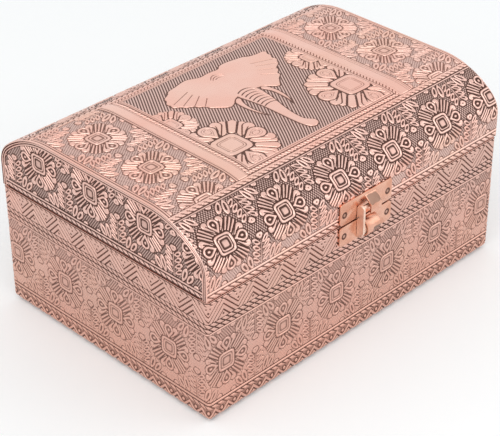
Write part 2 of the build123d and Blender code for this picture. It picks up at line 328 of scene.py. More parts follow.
@dataclass(frozen=True)
class Petal:
    """A petal or leaf, on a grid that is measured from its foot, along its middle and across."""

    along: Grid
    across: Grid
    length: float | Grid
    half: float

    @classmethod
    def between(cls, x: Grid, y: Grid, foot: Point, tip: Point, half: float) -> "Petal":
        """One from its foot to its tip.

        Args:
            x: Distance across.
            y: Distance up.
            foot: Its foot.
            tip: Its tip.
            half: Half its greatest width.

        Returns:
            The petal.
        """
        step_x, step_y = tip[0] - foot[0], tip[1] - foot[1]
        length = math.hypot(step_x, step_y)
        along = ((x - foot[0]) * step_x + (y - foot[1]) * step_y) / length
        across = ((x - foot[0]) * step_y - (y - foot[1]) * step_x) / length
        return cls(along, across, length, half)

    def drop(self) -> Grid:
        """A drop: a point at its foot, straight sides and a round end of radius half.

        Returns:
            Distance inside it: from the cone's side where that is nearer, else from the circle.
        """
        centre = self.length - self.half
        lean = math.asin(self.half / centre)
        cos, sin, side = math.cos(lean), math.sin(lean), np.abs(self.across)
        circle = self.half - np.hypot(self.along - centre, side)
        on_cone = self.along * cos + side * sin < centre * cos
        return np.where(on_cone, self.along * sin - side * cos, circle)

    def kite(self, depth: float) -> Motif:
        """A drop with a rim, a hollow, a fine line round it and a seed in it.

        Args:
            depth: Depth of its hollow.

        Returns:
            The motif.
        """
        inside, half = self.drop(), self.half
        from_seed = np.hypot((self.along - self.length + 1.1 * half) / 1.4, self.across)
        lines = (inside - 0.42 * half, from_seed - 0.32 * half)
        line = highest(*[ridge(distance, 0.1, 0.2) for distance in lines])
        hollow = highest(depth * rise(0.33 * half, 0.45 * half, inside), 0.8 * line)
        top, cover = cut(raised(inside), hollow, 1.0)
        return top + 0.8 * depth * ridge(from_seed, 0.2 * half), cover

    def blunt(self, outline: float) -> Motif:
        """A drop, solid at its round end, with a slit from its foot that widens towards its end.

        Args:
            outline: Width of its dark outline, in step with the slit's.

        Returns:
            The motif.
        """
        share = self.along / self.length
        width = (0.04 + 0.17 * share) * self.half * outline / 0.45
        width = width * rise(0.25, 0.4, share) * rise(0.78, 0.66, share)
        slit = rise(-0.1, 0.1, width - np.abs(self.across))
        return cut(raised(self.drop(), outline=outline), slit)

    def leaf(self) -> Motif:
        """A leaf with a slit: half sin(pi t^1.25)^0.6 wide, t being the share of its length.

        Returns:
            The motif.
        """
        t, side = np.clip(self.along / self.length, 0.0, 1.0), np.abs(self.across)
        width = self.half * np.clip(np.sin(np.pi * t**1.25), 0.0, 1.0) ** 0.6
        slit = rise(-0.1, 0.15, 0.34 * width - side) * rise(0.2, 0.3, t) * rise(0.8, 0.68, t)
        inside = lowest(width - side, self.along, self.length - self.along)
        return cut(raised(inside, edge=0.3, outline=0.42), slit)


def rosette(x: Grid, y: Grid, scale: float = 1.0, broad: bool = False) -> Motif:
    """A square-set flower: nested rounded squares, four kites, eight blunt petals, four fans.

    It is folded into one eighth, m along the nearer axis and n across it, so each part is drawn
    once. The nested squares are levels of (m^5 + n^5)^(1/5). A blunt petal leans 28 degrees from
    the kite beside it. A fan's rays lie side by side about the diagonal and spread outwards.

    Args:
        x: Distance from its centre.
        y: Distance from its centre.
        scale: Its size, against one of about 25 mm.
        broad: Whether it is drawn in fine lines, with few broad rays and one broad rim.

    Returns:
        The flower as one motif.
    """
    ax, ay = np.abs(x) / scale, np.abs(y) / scale
    m, n = np.maximum(ax, ay), np.minimum(ax, ay)
    square = (m**5 + n**5) ** 0.2
    along, across = (m + n) / math.sqrt(2), (m - n) / math.sqrt(2)
    widen = 1.0 + 0.05 * (along - 7.0)
    pitch, groove, depth, outline = (2.5, 0.2, 0.12, 0.28) if broad else (1.4, 0.26, 0.85, 0.45)
    gap = np.abs(folded(across / widen, pitch))
    fan = lowest(3.7 - across / widen, 14.1 - 0.3 * across - along, square - 5.3)
    ray = lowest((pitch / 2 - groove - gap) * widen, fan - 0.5 * gap**2)
    rays = raised(ray, edge=groove, outline=0.4)
    cos, sin = math.cos(math.radians(28.0)), math.sin(math.radians(28.0))
    out, aside = m - 5.4, n - 1.2
    blunt = Petal(out * cos + aside * sin, aside * cos - out * sin, 8.3, 1.9).blunt(outline)
    if broad:
        rings = highest(ridge(square - 3.4, 0.17, 0.2), ridge(square - 2.75, 0.13, 0.2))
        heart = 0.95 - 0.6 * rings
    else:
        rings = highest(ridge(square - 4.3, 0.5), 0.85 * ridge(square - 2.9, 0.28))
        heart = np.clip(highest(rings, 0.58 * (1.0 - rise(1.5, 1.9, square))), 0.2, None)
    core = heart * rise(5.0, 4.75, square), rise(5.4, 5.1, square)
    return stacked(rays, blunt, Petal(m - 5.0, n, 8.0, 2.9).kite(depth), core)


def spray(out: Grid, up: Grid) -> Motif:
    """Leaves in pairs on a stem, slanting forwards, with two taller ones fanned out at its foot.

    Args:
        out: Distance from the stem, never negative.
        up: Distance along the stem from the border that it grows from.

    Returns:
        The leaves and their stem. Paired leaves lie on lines up - 0.6 out, folded into one.
    """
    lane = up - 0.6 * out
    gap = folded(lane - 1.2, 3.2)
    foot = lane - gap
    reach = np.clip(6.0 - 0.12 * np.maximum(foot, 0.0), 0.1, None)
    top, cover = Petal(out - 0.3, 0.86 * gap, reach, 1.4).leaf()
    grows = (foot > 0.0) & (foot < 11.0)
    stem_top, stem_cover = raised(0.3 - out, level=0.8, edge=0.2, outline=0.3)
    return stacked(
        (top * grows, cover * grows),
        (stem_top, stem_cover * rise(13.5, 12.8, up)),
        Petal.between(out, up, (7.8, -0.6), (12.3, 5.6), 1.7).leaf(),
        Petal.between(out, up, (5.2, -0.6), (8.2, 7.6), 1.75).leaf(),
    )


def bud(x: Grid, y: Grid) -> Motif:
    """A small bud, flat at its foot, with three lobes where its radius swells."""
    radius = 1.6 + 0.35 * np.abs(np.cos(3.3 * np.arctan2(x, y + 1.6)))
    body = raised(lowest(radius - np.hypot(x * 0.92, y + 0.2), y + 1.6), level=0.85)
    return cut(body, ridge(np.hypot(x, y), 0.45), 0.6)


def flower_field(
    x: Grid,
    y: Grid,
    pitch: float,
    half_height: float,
    level: float | Grid = GROUND,
    net: float | Grid = 1.0,
) -> Relief:
    """The repeated flower band: rosettes on the middle line, sprays from both borders between.

    Args:
        x: Distance along the band from a rosette's centre.
        y: Distance from the band's middle line.
        pitch: Spacing of the rosettes.
        half_height: Half the band's height.
        level: Height of its dotted ground.
        net: How strongly the dots show.

    Returns:
        The band's surface.
    """
    x, y = x + 0.22 * np.sin(y / 9.0 + x / 31.0), y + 0.22 * np.sin(x / 11.0)
    from_flower, between = folded(x, pitch), np.abs(folded(x - pitch / 2, pitch))
    up = half_height - np.abs(y)
    lobe = raised(1.7 - np.hypot(np.abs(from_flower) - 4.4, 1.15 * (up - 0.1)), level=0.95)
    relief = Relief.netted(x, y, level, net)
    return relief.lay(
        lobe, spray(between, up), bud(between, np.abs(y) - 3.9), rosette(from_flower, y)
    )


def beads(u: Grid, v: Grid, half: float, pitch: float, lean: float) -> Grid:
    """A twisted cord: slanted round beads, the lower of a bulge across and a bulge along."""
    gap = np.abs(folded(u + lean * v, pitch)) / (0.41 * pitch)
    return lowest(*[np.sqrt(np.clip(1.0 - t**2, 0.0, 1.0)) for t in (v / half, gap)]) ** 0.8


def cord_at(place: float, half: float, pitch: float = 3.6, lean: float = 1.3) -> Worked:
    """A strip with one twisted cord along it, on a low ground."""
    return lambda u, v: Relief.worked(u, v, beads(u, v - place, half, pitch, lean))


def lines_at(*places: float, half: float = 0.3) -> Worked:
    """A strip with a raised line at each of these heights, on a low ground.

    Args:
        places: The heights.
        half: Half a line's width.

    Returns:
        A function that works the strip.
    """

    def lines(v: Grid) -> Grid:
        """1 on the lines."""
        return highest(*[ridge(v - place, half) for place in places])

    return lambda u, v: Relief.worked(u, v, lines(v), 0.1, 0.95)


def zigzag_strip(u: Grid, v: Grid, period: float = 8.2) -> Relief:
    """The foot border: two nested zigzag lines below a wave, rings in its dips, seeds under it.

    Args:
        u: Distance along the strip.
        v: Height above its lower edge.
        period: Spacing of the peaks.

    Returns:
        The strip's surface.
    """
    below = (4.2 + 2.2 * wave(u, period) - v) * 0.68
    lines = highest(ridge(below, 0.55, 0.3), ridge(below - 1.9, 0.5, 0.3))
    from_dot = np.hypot(folded(u - period / 2, period), v - 5.3)
    from_seed = np.hypot(folded(u, period), v - 1.7)
    relief = Relief.worked(u, v, lines)
    relief.height = np.where(below < -0.8, 0.42, relief.height)
    relief.put(from_dot < 1.5, Relief.worked(u, v, ridge(from_dot, 0.85), high=0.95))
    return relief.put(from_seed < 1.2, Relief.worked(u, v, ridge(from_seed, 0.7), high=0.9))


def chevron_strip(u: Grid, v: Grid, period: float = 18.4, height: float = 9.4) -> Relief:
    """Nested chevrons, with a drilled triangle under each peak and one hanging over each dip.

    The chevrons are ridges at equal steps below a triangle wave as high as the strip, set above
    its middle.

    Args:
        u: Distance along the strip.
        v: Height above its lower edge.
        period: Spacing of the peaks.
        height: Its height.

    Returns:
        The strip's surface.
    """
    below = (height * (wave(u, period) + 1.0) / 2 + 0.4 * height - v) * 0.7
    gaps = [below - 1.0 - 2.15 * step for step in range(3)]
    lines = highest(*[ridge(gap, 0.78, 0.34) - 0.3 * ridge(gap, 0.05, 0.25) for gap in gaps])
    dip = folded(u - period / 2, period)
    drilled = ridge(np.hypot(folded(u, period), v - 1.9), 0.65)
    low_dot = ridge(np.hypot(dip, v - height + 3.6), 0.6)
    high_dots = ridge(np.hypot(folded(dip - 1.1, 2.2), v - height + 1.4), 0.5) * ridge(dip, 2.0)
    relief = Relief.worked(u, v, lines)
    for inside, holes in ((below - 6.6, drilled), (-below + 0.05, highest(low_dot, high_dots))):
        relief.lay(cut(raised(inside, level=SMOOTH), holes))
    return relief


def seam_edge(u: Grid, v: Grid) -> Relief:
    """The low edge of a sheet where two meet, darkened as painted shadow of the gap between them.
    """
    return Relief.worked(u, v, np.zeros(u.shape), 0.15)


def wall_flowers(u: Grid, v: Grid) -> Relief:
    """The flower band of the base, on a ground that is lighter lower down."""
    near_top = rise(38.0, 44.0, v)
    level, net = 0.66 - 0.3 * near_top, 0.55 + 0.4 * near_top
    return flower_field(u + 16.8, v - 30.3, WALL_PITCH, 18.4, level, net).fade(0.8, level=1.0)


def lid_flowers(u: Grid, v: Grid) -> Relief:
    """The flower band of the lid, on a ground that is lighter near the rim."""
    near_rim = rise(17.0, 8.0, v)
    level, net = GROUND + 0.2 * near_rim, 1.15 - 0.4 * near_rim
    return flower_field(u + 12.0, v - 23.4, LID_PITCH, 18.6, level, net)


@dataclass(frozen=True)
class Strip:
    """One strip of ornament between two heights of a sheet, and how dark its hollows have gone."""

    low: float
    high: float
    worked: Worked
    tarnish: float = 0.5


# By height above the ground, unrolled round the bottom edge
WALL_STRIPS = (
    Strip(-4.0, 7.3, lambda u, v: zigzag_strip(u + 56.5, v), 0.6),
    Strip(7.3, 9.4, cord_at(8.35, 0.9, 3.9, 1.4), 0.6),
    Strip(9.4, 11.8, lines_at(10.5, half=0.55), 0.6),
    Strip(11.8, 49.0, wall_flowers, 0.65),
    Strip(49.0, 50.3, lines_at(49.6, half=0.4), 0.8),
    Strip(50.3, 52.8, cord_at(51.5, 1.1), 1.0),
    Strip(52.8, 55.4, cord_at(54.1, 1.15), 1.0),
    Strip(55.4, 64.8, lambda u, v: chevron_strip(u + 54.5, v - 55.4), 0.7),
    Strip(64.8, 66.4, cord_at(65.6, 0.75), 0.8),
    Strip(66.4, 66.7, seam_edge, 1.0),
)

# By distance up from the lid's rim, along its front or rear sheet
BAND_STRIPS = (
    Strip(0.0, 0.4, seam_edge, 1.0),
    Strip(0.4, 3.0, cord_at(1.7, 1.2, 4.2, 1.7), 1.0),
    Strip(3.0, 4.9, lines_at(3.95, half=0.45), 1.0),
    Strip(4.9, 42.0, lid_flowers, 1.0),
    Strip(42.0, 43.2, lines_at(42.6), 1.0),
    Strip(43.2, 46.4, cord_at(44.8, 1.25, 3.4, 1.2), 0.8),
    Strip(46.4, 60.0, Relief.plain, 0.3),
)

# By height above the lid's rim, on its ends; the lowest strips are darkened more than on the sides,
# as painted shadow of the gap under the lid's edge
END_STRIPS = (
    Strip(0.0, 0.9, seam_edge, 1.6),
    Strip(0.9, 3.0, cord_at(1.95, 0.95), 1.6),
    Strip(3.0, 4.9, lines_at(3.95, half=0.45), 1.3),
    Strip(4.9, 60.0, lambda u, v: flower_field(u + 5.0, v - 23.2, LID_PITCH, 18.4), 0.9),
)


def striped(strips: Sequence[Strip], u: Grid, v: Grid) -> Relief:
    """A sheet made of strips, each worked out over the rows where it lies.

    Args:
        strips: The strips.
        u: Distance along the sheet.
        v: Height up it.

    Returns:
        The sheet's surface, smooth where no strip lies.
    """
    whole = Relief.plain(u, v)
    whole.phases = Relief.netted(u, v).phases
    for strip in strips:
        inside = (v >= strip.low) & (v < strip.high)
        rows = np.flatnonzero(inside.any(axis=1))
        if len(rows):
            part = slice(rows[0], rows[-1] + 1)
            worked, here = strip.worked(u[part], v[part]), inside[part]
            whole.height[part][here] = worked.height[here]
            whole.net[part][here] = worked.net[here]
            whole.tarnish[part][here] = strip.tarnish
    return whole


# Shader graphs


@dataclass
class Signal:
    """A node's output that can be used in plain arithmetic; each operation adds a Math node."""

    graph: "Graph"
    socket: bpy.types.NodeSocket

    def _math(self, operation: str, *values: "Signal | float") -> "Signal":
        """Joins values with one Math node."""
        return self.graph.add("Math", dict(enumerate(values)), operation=operation)

    def __add__(self, other: "Signal | float") -> "Signal":
        """Sum."""
        return self._math("ADD", self, other)

    def __sub__(self, other: "Signal | float") -> "Signal":
        """Difference."""
        return self._math("SUBTRACT", self, other)

    def __rsub__(self, other: float) -> "Signal":
        """Difference from a plain number."""
        return self._math("SUBTRACT", other, self)

    def __mul__(self, other: "Signal | float") -> "Signal":
        """Product."""
        return self._math("MULTIPLY", self, other)

    __radd__ = __add__
    __rmul__ = __mul__

    def __pow__(self, power: float) -> "Signal":
        """Power."""
        return self._math("POWER", self, power)

    def sine(self) -> "Signal":
        """Sine of an angle in radians."""
        return self._math("SINE", self)

    def size(self) -> "Signal":
        """Absolute value."""
        return self._math("ABSOLUTE", self)

    def step(self, low: "Signal | float", high: "Signal | float") -> "Signal":
        """Smooth step from 0 at low to 1 at high."""
        inputs = {0: self, 1: low, 2: high, 3: 0.0, 4: 1.0}
        return self.graph.add("MapRange", inputs, interpolation_type="SMOOTHSTEP")


class Graph:
    """The node tree of one material or world, empty at first."""

    def __init__(self, owner: Material | bpy.types.World) -> None:
        """Empties the owner's tree."""
        owner.use_nodes = True
        self.owner, self.tree = owner, owner.node_tree
        self.tree.nodes.clear()

    @classmethod
    def material(cls, name: str) -> "Graph":
        """A new material's tree."""
        return cls(bpy.data.materials.new(name))

    def add(
        self, kind: str, inputs: dict | None = None, output: str | int = 0, **settings: str
    ) -> Signal:
        """Adds a node: its settings first, then the values or links of its inputs.

        Args:
            kind: The end of its type's name.
            inputs: Its inputs by name or number, each a number, a colour or a signal.
            output: Which output to return.
            settings: Its properties.

        Returns:
            That output as a signal.
        """
        node = self.tree.nodes.new("ShaderNode" + kind)
        for key, value in settings.items():
            setattr(node, key, value)
        for key, value in (inputs or {}).items():
            if isinstance(value, Signal):
                self.tree.links.new(value.socket, node.inputs[key])
            else:
                node.inputs[key].default_value = value
        return Signal(self, node.outputs[output] if node.outputs else None)

    def attribute(self, name: str) -> Signal:
        """A value stored on the piece."""
        return self.add("Attribute", output="Fac", attribute_name=name)

    def place(self) -> Signal:
        """Object coordinates."""
        return self.add("TexCoord", output="Object")

    def along(self, axis: str) -> Signal:
        """Object coordinate along one axis."""
        return self.add("SeparateXYZ", {"Vector": self.place()}, axis)

    def noise(self, scale: float, detail: float = 2.0, stretch: tuple | None = None) -> Signal:
        """Noise on object coordinates.

        Args:
            scale: Its scale.
            detail: How many finer layers it has.
            stretch: Scale of the coordinates along each axis, where they are stretched.

        Returns:
            The noise, from 0 to 1.
        """
        where = self.place()
        if stretch:
            where = self.add("Mapping", {"Vector": where, "Scale": stretch})
        return self.add("TexNoise", {"Vector": where, "Scale": scale, "Detail": detail})

    def blend(self, factor: Signal | float, first: object, second: object) -> Signal:
        """Mixes two colours."""
        return self.add("Mix", {0: factor, 6: first, 7: second}, 2, data_type="RGBA")

    def bump(self, height: Signal, strength: float, distance: float) -> Signal:
        """A bumped normal."""
        return self.add("Bump", {"Height": height, "Strength": strength, "Distance": distance})

    def shown(self) -> Signal:
        """1 on rays from the camera, a reflection or a clear surface: 1 - (1 - a)(1 - b)(1 - c)."""
        kinds = ("Camera", "Glossy", "Transmission")
        a, b, c = (self.add("LightPath", output=f"Is {kind} Ray") for kind in kinds)
        return 1.0 - (1.0 - a) * (1.0 - b) * (1.0 - c)

    def feed(self, **inputs: object) -> Material:
        """Gives the material its shader.

        Args:
            inputs: The shader's inputs, with underscores for the spaces in their names.

        Returns:
            The material.
        """
        named = {key.replace("_", " "): value for key, value in inputs.items()}
        self.add("OutputMaterial", {0: self.add("BsdfPrincipled", named)})
        return self.owner


def color(red: float, green: float, blue: float) -> Color:
    """An opaque linear colour."""
    return red, green, blue, 1.0


# Finishes


@dataclass(frozen=True)
class EmbossedFinish:
    """Rose-coloured sheet: polished on its raised parts, dark with patina in its hollows."""

    name: str = "embossed sheet"
    polished: Color = color(0.87, 0.505, 0.415)
    worn: Color = color(0.88, 0.57, 0.485)
    silvered: Color = color(0.78, 0.53, 0.465)
    light_hollow: Color = color(0.145, 0.05, 0.033)
    dark_hollow: Color = color(0.07, 0.025, 0.0165)
    warm: Color = color(0.78, 0.40, 0.295)
    peach: Color = color(0.85, 0.55, 0.43)
    dulled: Color = color(0.58, 0.35, 0.29)
    net_depth: float = 0.42
    cloud_scale: float = 38.0
    peach_scale: float = 27.0
    grain_scale: float = 900.0
    lid_starts: float = 0.067
    blur: float = 0.0003
    warm_below: float = 0.05

    def material(self) -> Material:
        """Colour and gloss follow relief and tarnish, in clouds.

        The base has dulled, and low down it is painted warmer, as painted bounced light. The lid's
        netted and darkest strips are paler and greyer on top.

        Returns:
            The material.
        """
        graph = Graph.material(self.name)
        relief, net, first, second, stripe, tarnish = (graph.attribute(name) for name in FIELDS)
        ground = self.net_depth * net * (first.sine() * (stripe + (1.0 - stripe) * second.sine()))
        cloud = graph.noise(self.cloud_scale, 3.0)
        grain = graph.noise(self.grain_scale)
        low = 0.10 + 0.10 * tarnish + 0.16 * (cloud - 0.5)
        hollow = 1.0 - (relief + ground).step(low, low + 0.58)
        shade = graph.blend(tarnish.step(0.1, 0.95), self.light_hollow, self.dark_hollow)
        top = graph.blend(cloud.step(0.3, 0.7), self.polished, self.worn)
        top = graph.blend(0.45 * graph.noise(self.peach_scale).step(0.45, 0.7), top, self.peach)
        height = graph.along("Z")
        on_lid = height.step(self.lid_starts - self.blur, self.lid_starts + self.blur)
        on_base = 1.0 - on_lid
        top = graph.blend(on_base * (0.35 + 0.35 * cloud), top, self.dulled)
        pale = 0.55 * tarnish.step(0.78, 0.95) + 0.9 * net.step(0.2, 0.5)
        top = graph.blend((1.0 - on_base) * pale, top, self.silvered)
        # painted bounced light: a warm tint on the base below 50 mm
        top = graph.blend(0.45 * (1.0 - height.step(0.0, self.warm_below)), top, self.warm)
        return graph.feed(
            Base_Color=graph.blend(hollow * (0.72 + 0.25 * tarnish), top, shade),
            Roughness=0.26 + 0.30 * hollow + 0.12 * (grain - 0.5) + 0.10 * (cloud - 0.5),
            Metallic=1.0 - 0.3 * hollow * tarnish,
            Normal=graph.bump(0.6 * relief + ground + 0.05 * grain, 0.6, 0.0004),
        )


@dataclass(frozen=True)
class NailPattern:
    """Where nails go through a pair of plates, in millimetres, mirrored about two middles."""

    middle_x: float
    half_x: float
    middle_z: float
    half_z: float
    apart: float = 0.0

    def places(self, up: int) -> list[Point]:
        """Places (x, z) on the upper plate, or on the lower one where up is -1."""
        pairs = sorted({-self.apart, self.apart})
        xs = [at + self.middle_x + half for at in pairs for half in (-self.half_x, self.half_x)]
        return [(x, self.middle_z + up * self.half_z) for x in xs]

    def distance(self, graph: Graph) -> Signal:
        """Distance from the nearest nail's axis, folded about the middles.

        Args:
            graph: The material's graph.

        Returns:
            The distance in millimetres.
        """
        x = graph.along("X") * (1.0 / MM) - self.middle_x
        z = graph.along("Z") * (1.0 / MM) - self.middle_z
        if self.apart:
            x = x.size() - self.apart
        off_x, off_z = x.size() - self.half_x, z.size() - self.half_z
        return (off_x * off_x + off_z * off_z) ** 0.5


LATCH_NAILS = NailPattern(middle_x=1.4, half_x=15.1, middle_z=67.1, half_z=5.8)
HINGE_NAILS = NailPattern(middle_x=0.0, half_x=7.0, middle_z=67.1, half_z=7.0, apart=58.0)


@dataclass(frozen=True)
class Rub:
    """A patch painted dark grey as a painted reflection: between two places along and two heights,
    in millimetres.
    """

    along: tuple[float, float]
    height: tuple[float, float]

    def share(self, graph: Graph) -> Signal:
        """How strongly the painted reflection shows, with a ragged edge.

        Args:
            graph: The material's graph.

        Returns:
            1 well inside both spans, falling to 0 at their ends.
        """
        ragged = 1.2 * (graph.noise(420.0, 3.0) - 0.5)
        inside = 1.0
        for axis, (low, high) in (("X", self.along), ("Z", self.height)):
            middle, half = (low + high) / 2, (high - low) / 2
            away = (graph.along(axis) * (1.0 / MM) - middle).size() + ragged
            inside = inside * (1.0 - away.step(half - 0.3, half + 0.2))
        return inside


@dataclass(frozen=True)
class PlatedFinish:
    """Plated metal: bright, with painted shade in a ring round each nail, cloudy, scratched, and
    painted dark grey in patches as painted reflections.
    """

    name: str
    bright: Color
    dull: Color
    roughness: float
    nails: NailPattern = LATCH_NAILS
    ring: tuple[float, float] = (0.95, 1.85)
    rubs: tuple[Rub, ...] = ()
    browned: Color = color(0.12, 0.045, 0.03)
    steel: Color = color(0.20, 0.125, 0.095)

    def material(self) -> Material:
        """Bright goes to dull in clouds, to painted shade in the rings round the nails and to a
        painted dark grey reflection in its patches.

        Returns:
            The material.
        """
        graph = Graph.material(self.name)
        cloud = graph.noise(160.0, 4.0)
        scratch = graph.noise(700.0, 3.0, stretch=(1.0, 1.0, 14.0))
        away = self.nails.distance(graph)
        inner, outer = self.ring
        # painted shade: a dark ring round each nail's sunk head, where its recess would be in
        # shadow
        near = away.step(inner - 0.1, inner + 0.12) * (1.0 - away.step(outer - 0.2, outer))
        face = graph.blend(cloud.step(0.35, 0.72), self.bright, self.dull)
        # painted reflections: dark grey patches where the metal would mirror something dark
        for patch in self.rubs:
            face = graph.blend(0.85 * patch.share(graph), face, self.steel)
        worn = 0.16 * (cloud - 0.5) + 0.12 * (scratch - 0.5)
        return graph.feed(
            Base_Color=graph.blend(near * 0.95, face, self.browned),
            Roughness=self.roughness + worn + 0.2 * near,
            Metallic=1.0 - 0.5 * near,
            Normal=graph.bump(scratch, 0.12, 0.0001),
        )


@dataclass(frozen=True)
class PileFinish:
    """Short pile cloth: velvet or felt."""

    name: str
    deep: Color
    lit: Color
    pile: float
    sheen: float

    def material(self) -> Material:
        """Colour shifts with the lay of the pile; a sheen lights its grazing edges.

        Returns:
            The material.
        """
        graph = Graph.material(self.name)
        lay, fibre = graph.noise(55.0, 3.0), graph.noise(self.pile, 4.0)
        return graph.feed(
            Base_Color=graph.blend((lay + 0.5 * fibre).step(0.4, 1.1), self.deep, self.lit),
            Roughness=0.95 - 0.1 * lay,
            Sheen_Weight=self.sheen,
            Sheen_Roughness=0.4,
            Sheen_Tint=self.lit,
            Normal=graph.bump(fibre, 0.5, 0.0004),
        )


@dataclass(frozen=True)
class BoardFinish:
    """Pressed fibreboard."""

    name: str = "fibreboard"
    pale: Color = color(0.50, 0.36, 0.22)
    dark: Color = color(0.30, 0.19, 0.11)

    def material(self) -> Material:
        """Short matted fibres at two scales.

        Returns:
            The material.
        """
        graph = Graph.material(self.name)
        fibre = graph.noise(420.0, 6.0, stretch=(1.0, 1.0, 3.0))
        mottled = (0.7 * fibre + 0.3 * graph.noise(30.0)).step(0.3, 0.7)
        return graph.feed(
            Base_Color=graph.blend(mottled, self.dark, self.pale),
            Roughness=0.9 - 0.1 * fibre,
            Normal=graph.bump(fibre, 0.3, 0.0003),
        )


Look = EmbossedFinish | PlatedFinish | PileFinish | BoardFinish


class Finish(Enum):
    """The box's finishes, each with the record's slot that it belongs to."""

    EMBOSSED = ("embossed_sheet", EmbossedFinish())
    # The latch's two patches are painted reflections, on the nose's top and the loop's lower side.
    LATCH = ("latch_metal", PlatedFinish(
        "latch plating", color(0.80, 0.455, 0.335), color(0.70, 0.345, 0.235), 0.28,
        rubs=(Rub((0.4, 7.5), (74.0, 77.5)), Rub((1.8, 6.7), (55.8, 61.6)))))
    # The bolt's plating is paler than the plates' as a painted highlight on its broad side.
    BOLT = ("latch_metal", PlatedFinish(
        "bolt plating", color(0.92, 0.70, 0.58), color(0.84, 0.58, 0.46), 0.42))
    HINGE = ("hinge_and_nail_metal", PlatedFinish(
        "hinge plating", color(0.66, 0.38, 0.27), color(0.48, 0.25, 0.17), 0.32,
        HINGE_NAILS, browned=color(0.12, 0.05, 0.03)))
    NAIL = ("hinge_and_nail_metal", PlatedFinish(
        "nail metal", color(0.66, 0.40, 0.31), color(0.46, 0.26, 0.19), 0.3, ring=(0.75, 1.6)))
    VELVET = ("velvet", PileFinish(
        "velvet", color(0.10, 0.006, 0.016), color(0.28, 0.02, 0.045), 2200.0, 0.8))
    FELT = ("felt", PileFinish(
        "felt", color(0.11, 0.022, 0.022), color(0.20, 0.05, 0.045), 1500.0, 0.3))
    BOARD = ("fibreboard", BoardFinish())

    def __init__(self, slot: str, look: Look) -> None:
        """Keeps the slot and the look."""
        self.slot, self.look = slot, look

    @cached_property
    def material(self) -> Material:
        """The finish's one material, made when it is first asked for."""
        return self.look.material()


# Pieces and meshes


@dataclass(frozen=True)
class Piece:
    """What a piece is called, the solid that it stands for, what it moves with and its finish."""

    name: str
    node: str
    body: Body
    finish: Finish

    def dress(self, mesh: Mesh) -> Object:
        """Makes a mesh, in metres, this piece of the box.

        Args:
            mesh: The mesh.

        Returns:
            The new object.
        """
        mesh.materials.clear()
        mesh.materials.append(self.finish.material)
        made = bpy.data.objects.new(self.name, mesh)
        bpy.context.scene.collection.objects.link(made)
        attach(made, self.body.value)
        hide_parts(self.node)
        log.info("%s: %d vertices, %d faces", self.name, len(mesh.vertices), len(mesh.polygons))
        return made

    def make(self, points: Grid, faces: list, smooth: Grid) -> Object:
        """Makes the piece from a mesh's parts.

        Args:
            points: Its vertices in millimetres, one row each.
            faces: Its faces as rows of vertex numbers, pointing outwards.
            smooth: Which faces are shaded smooth.

        Returns:
            The new object.
        """
        mesh = bpy.data.meshes.new(self.name)
        mesh.from_pydata((points * MM).tolist(), [], faces)
        mesh.polygons.foreach_set("use_smooth", smooth)
        return self.dress(mesh)


def box_mm(node: str) -> tuple[Grid, Grid]:
    """Lowest and highest corner of a solid, in millimetres."""
    low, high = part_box(node)
    return np.array(low) / MM, np.array(high) / MM


def spread(low: float, high: float, pitch: float) -> Grid:
    """Even stations from low to high, no further apart than the pitch."""
    return np.linspace(low, high, math.ceil((high - low) / pitch) + 1)


def squares(front: Grid) -> tuple[Grid, Grid, Grid, Grid]:
    """The four corners of each square of a grid, anticlockwise from the low left."""
    return front[:-1, :-1], front[:-1, 1:], front[1:, 1:], front[1:, :-1]


def cut_squares(front: Grid, height: Grid) -> Grid:
    """Cuts a grid's squares in two, along the diagonal whose ends differ less in height.

    Args:
        front: The grid's vertex numbers.
        height: The relief at its points.

    Returns:
        The triangles, one row each.
    """
    a, b, c, d = squares(front)
    low_a, low_b, low_c, low_d = squares(height)
    rising = (np.abs(low_a - low_c) <= np.abs(low_b - low_d))[..., None]
    first = np.where(rising, np.stack([a, b, c], -1), np.stack([a, b, d], -1))
    second = np.where(rising, np.stack([a, c, d], -1), np.stack([b, c, d], -1))
    return np.stack([first, second], -2).reshape(-1, 3)


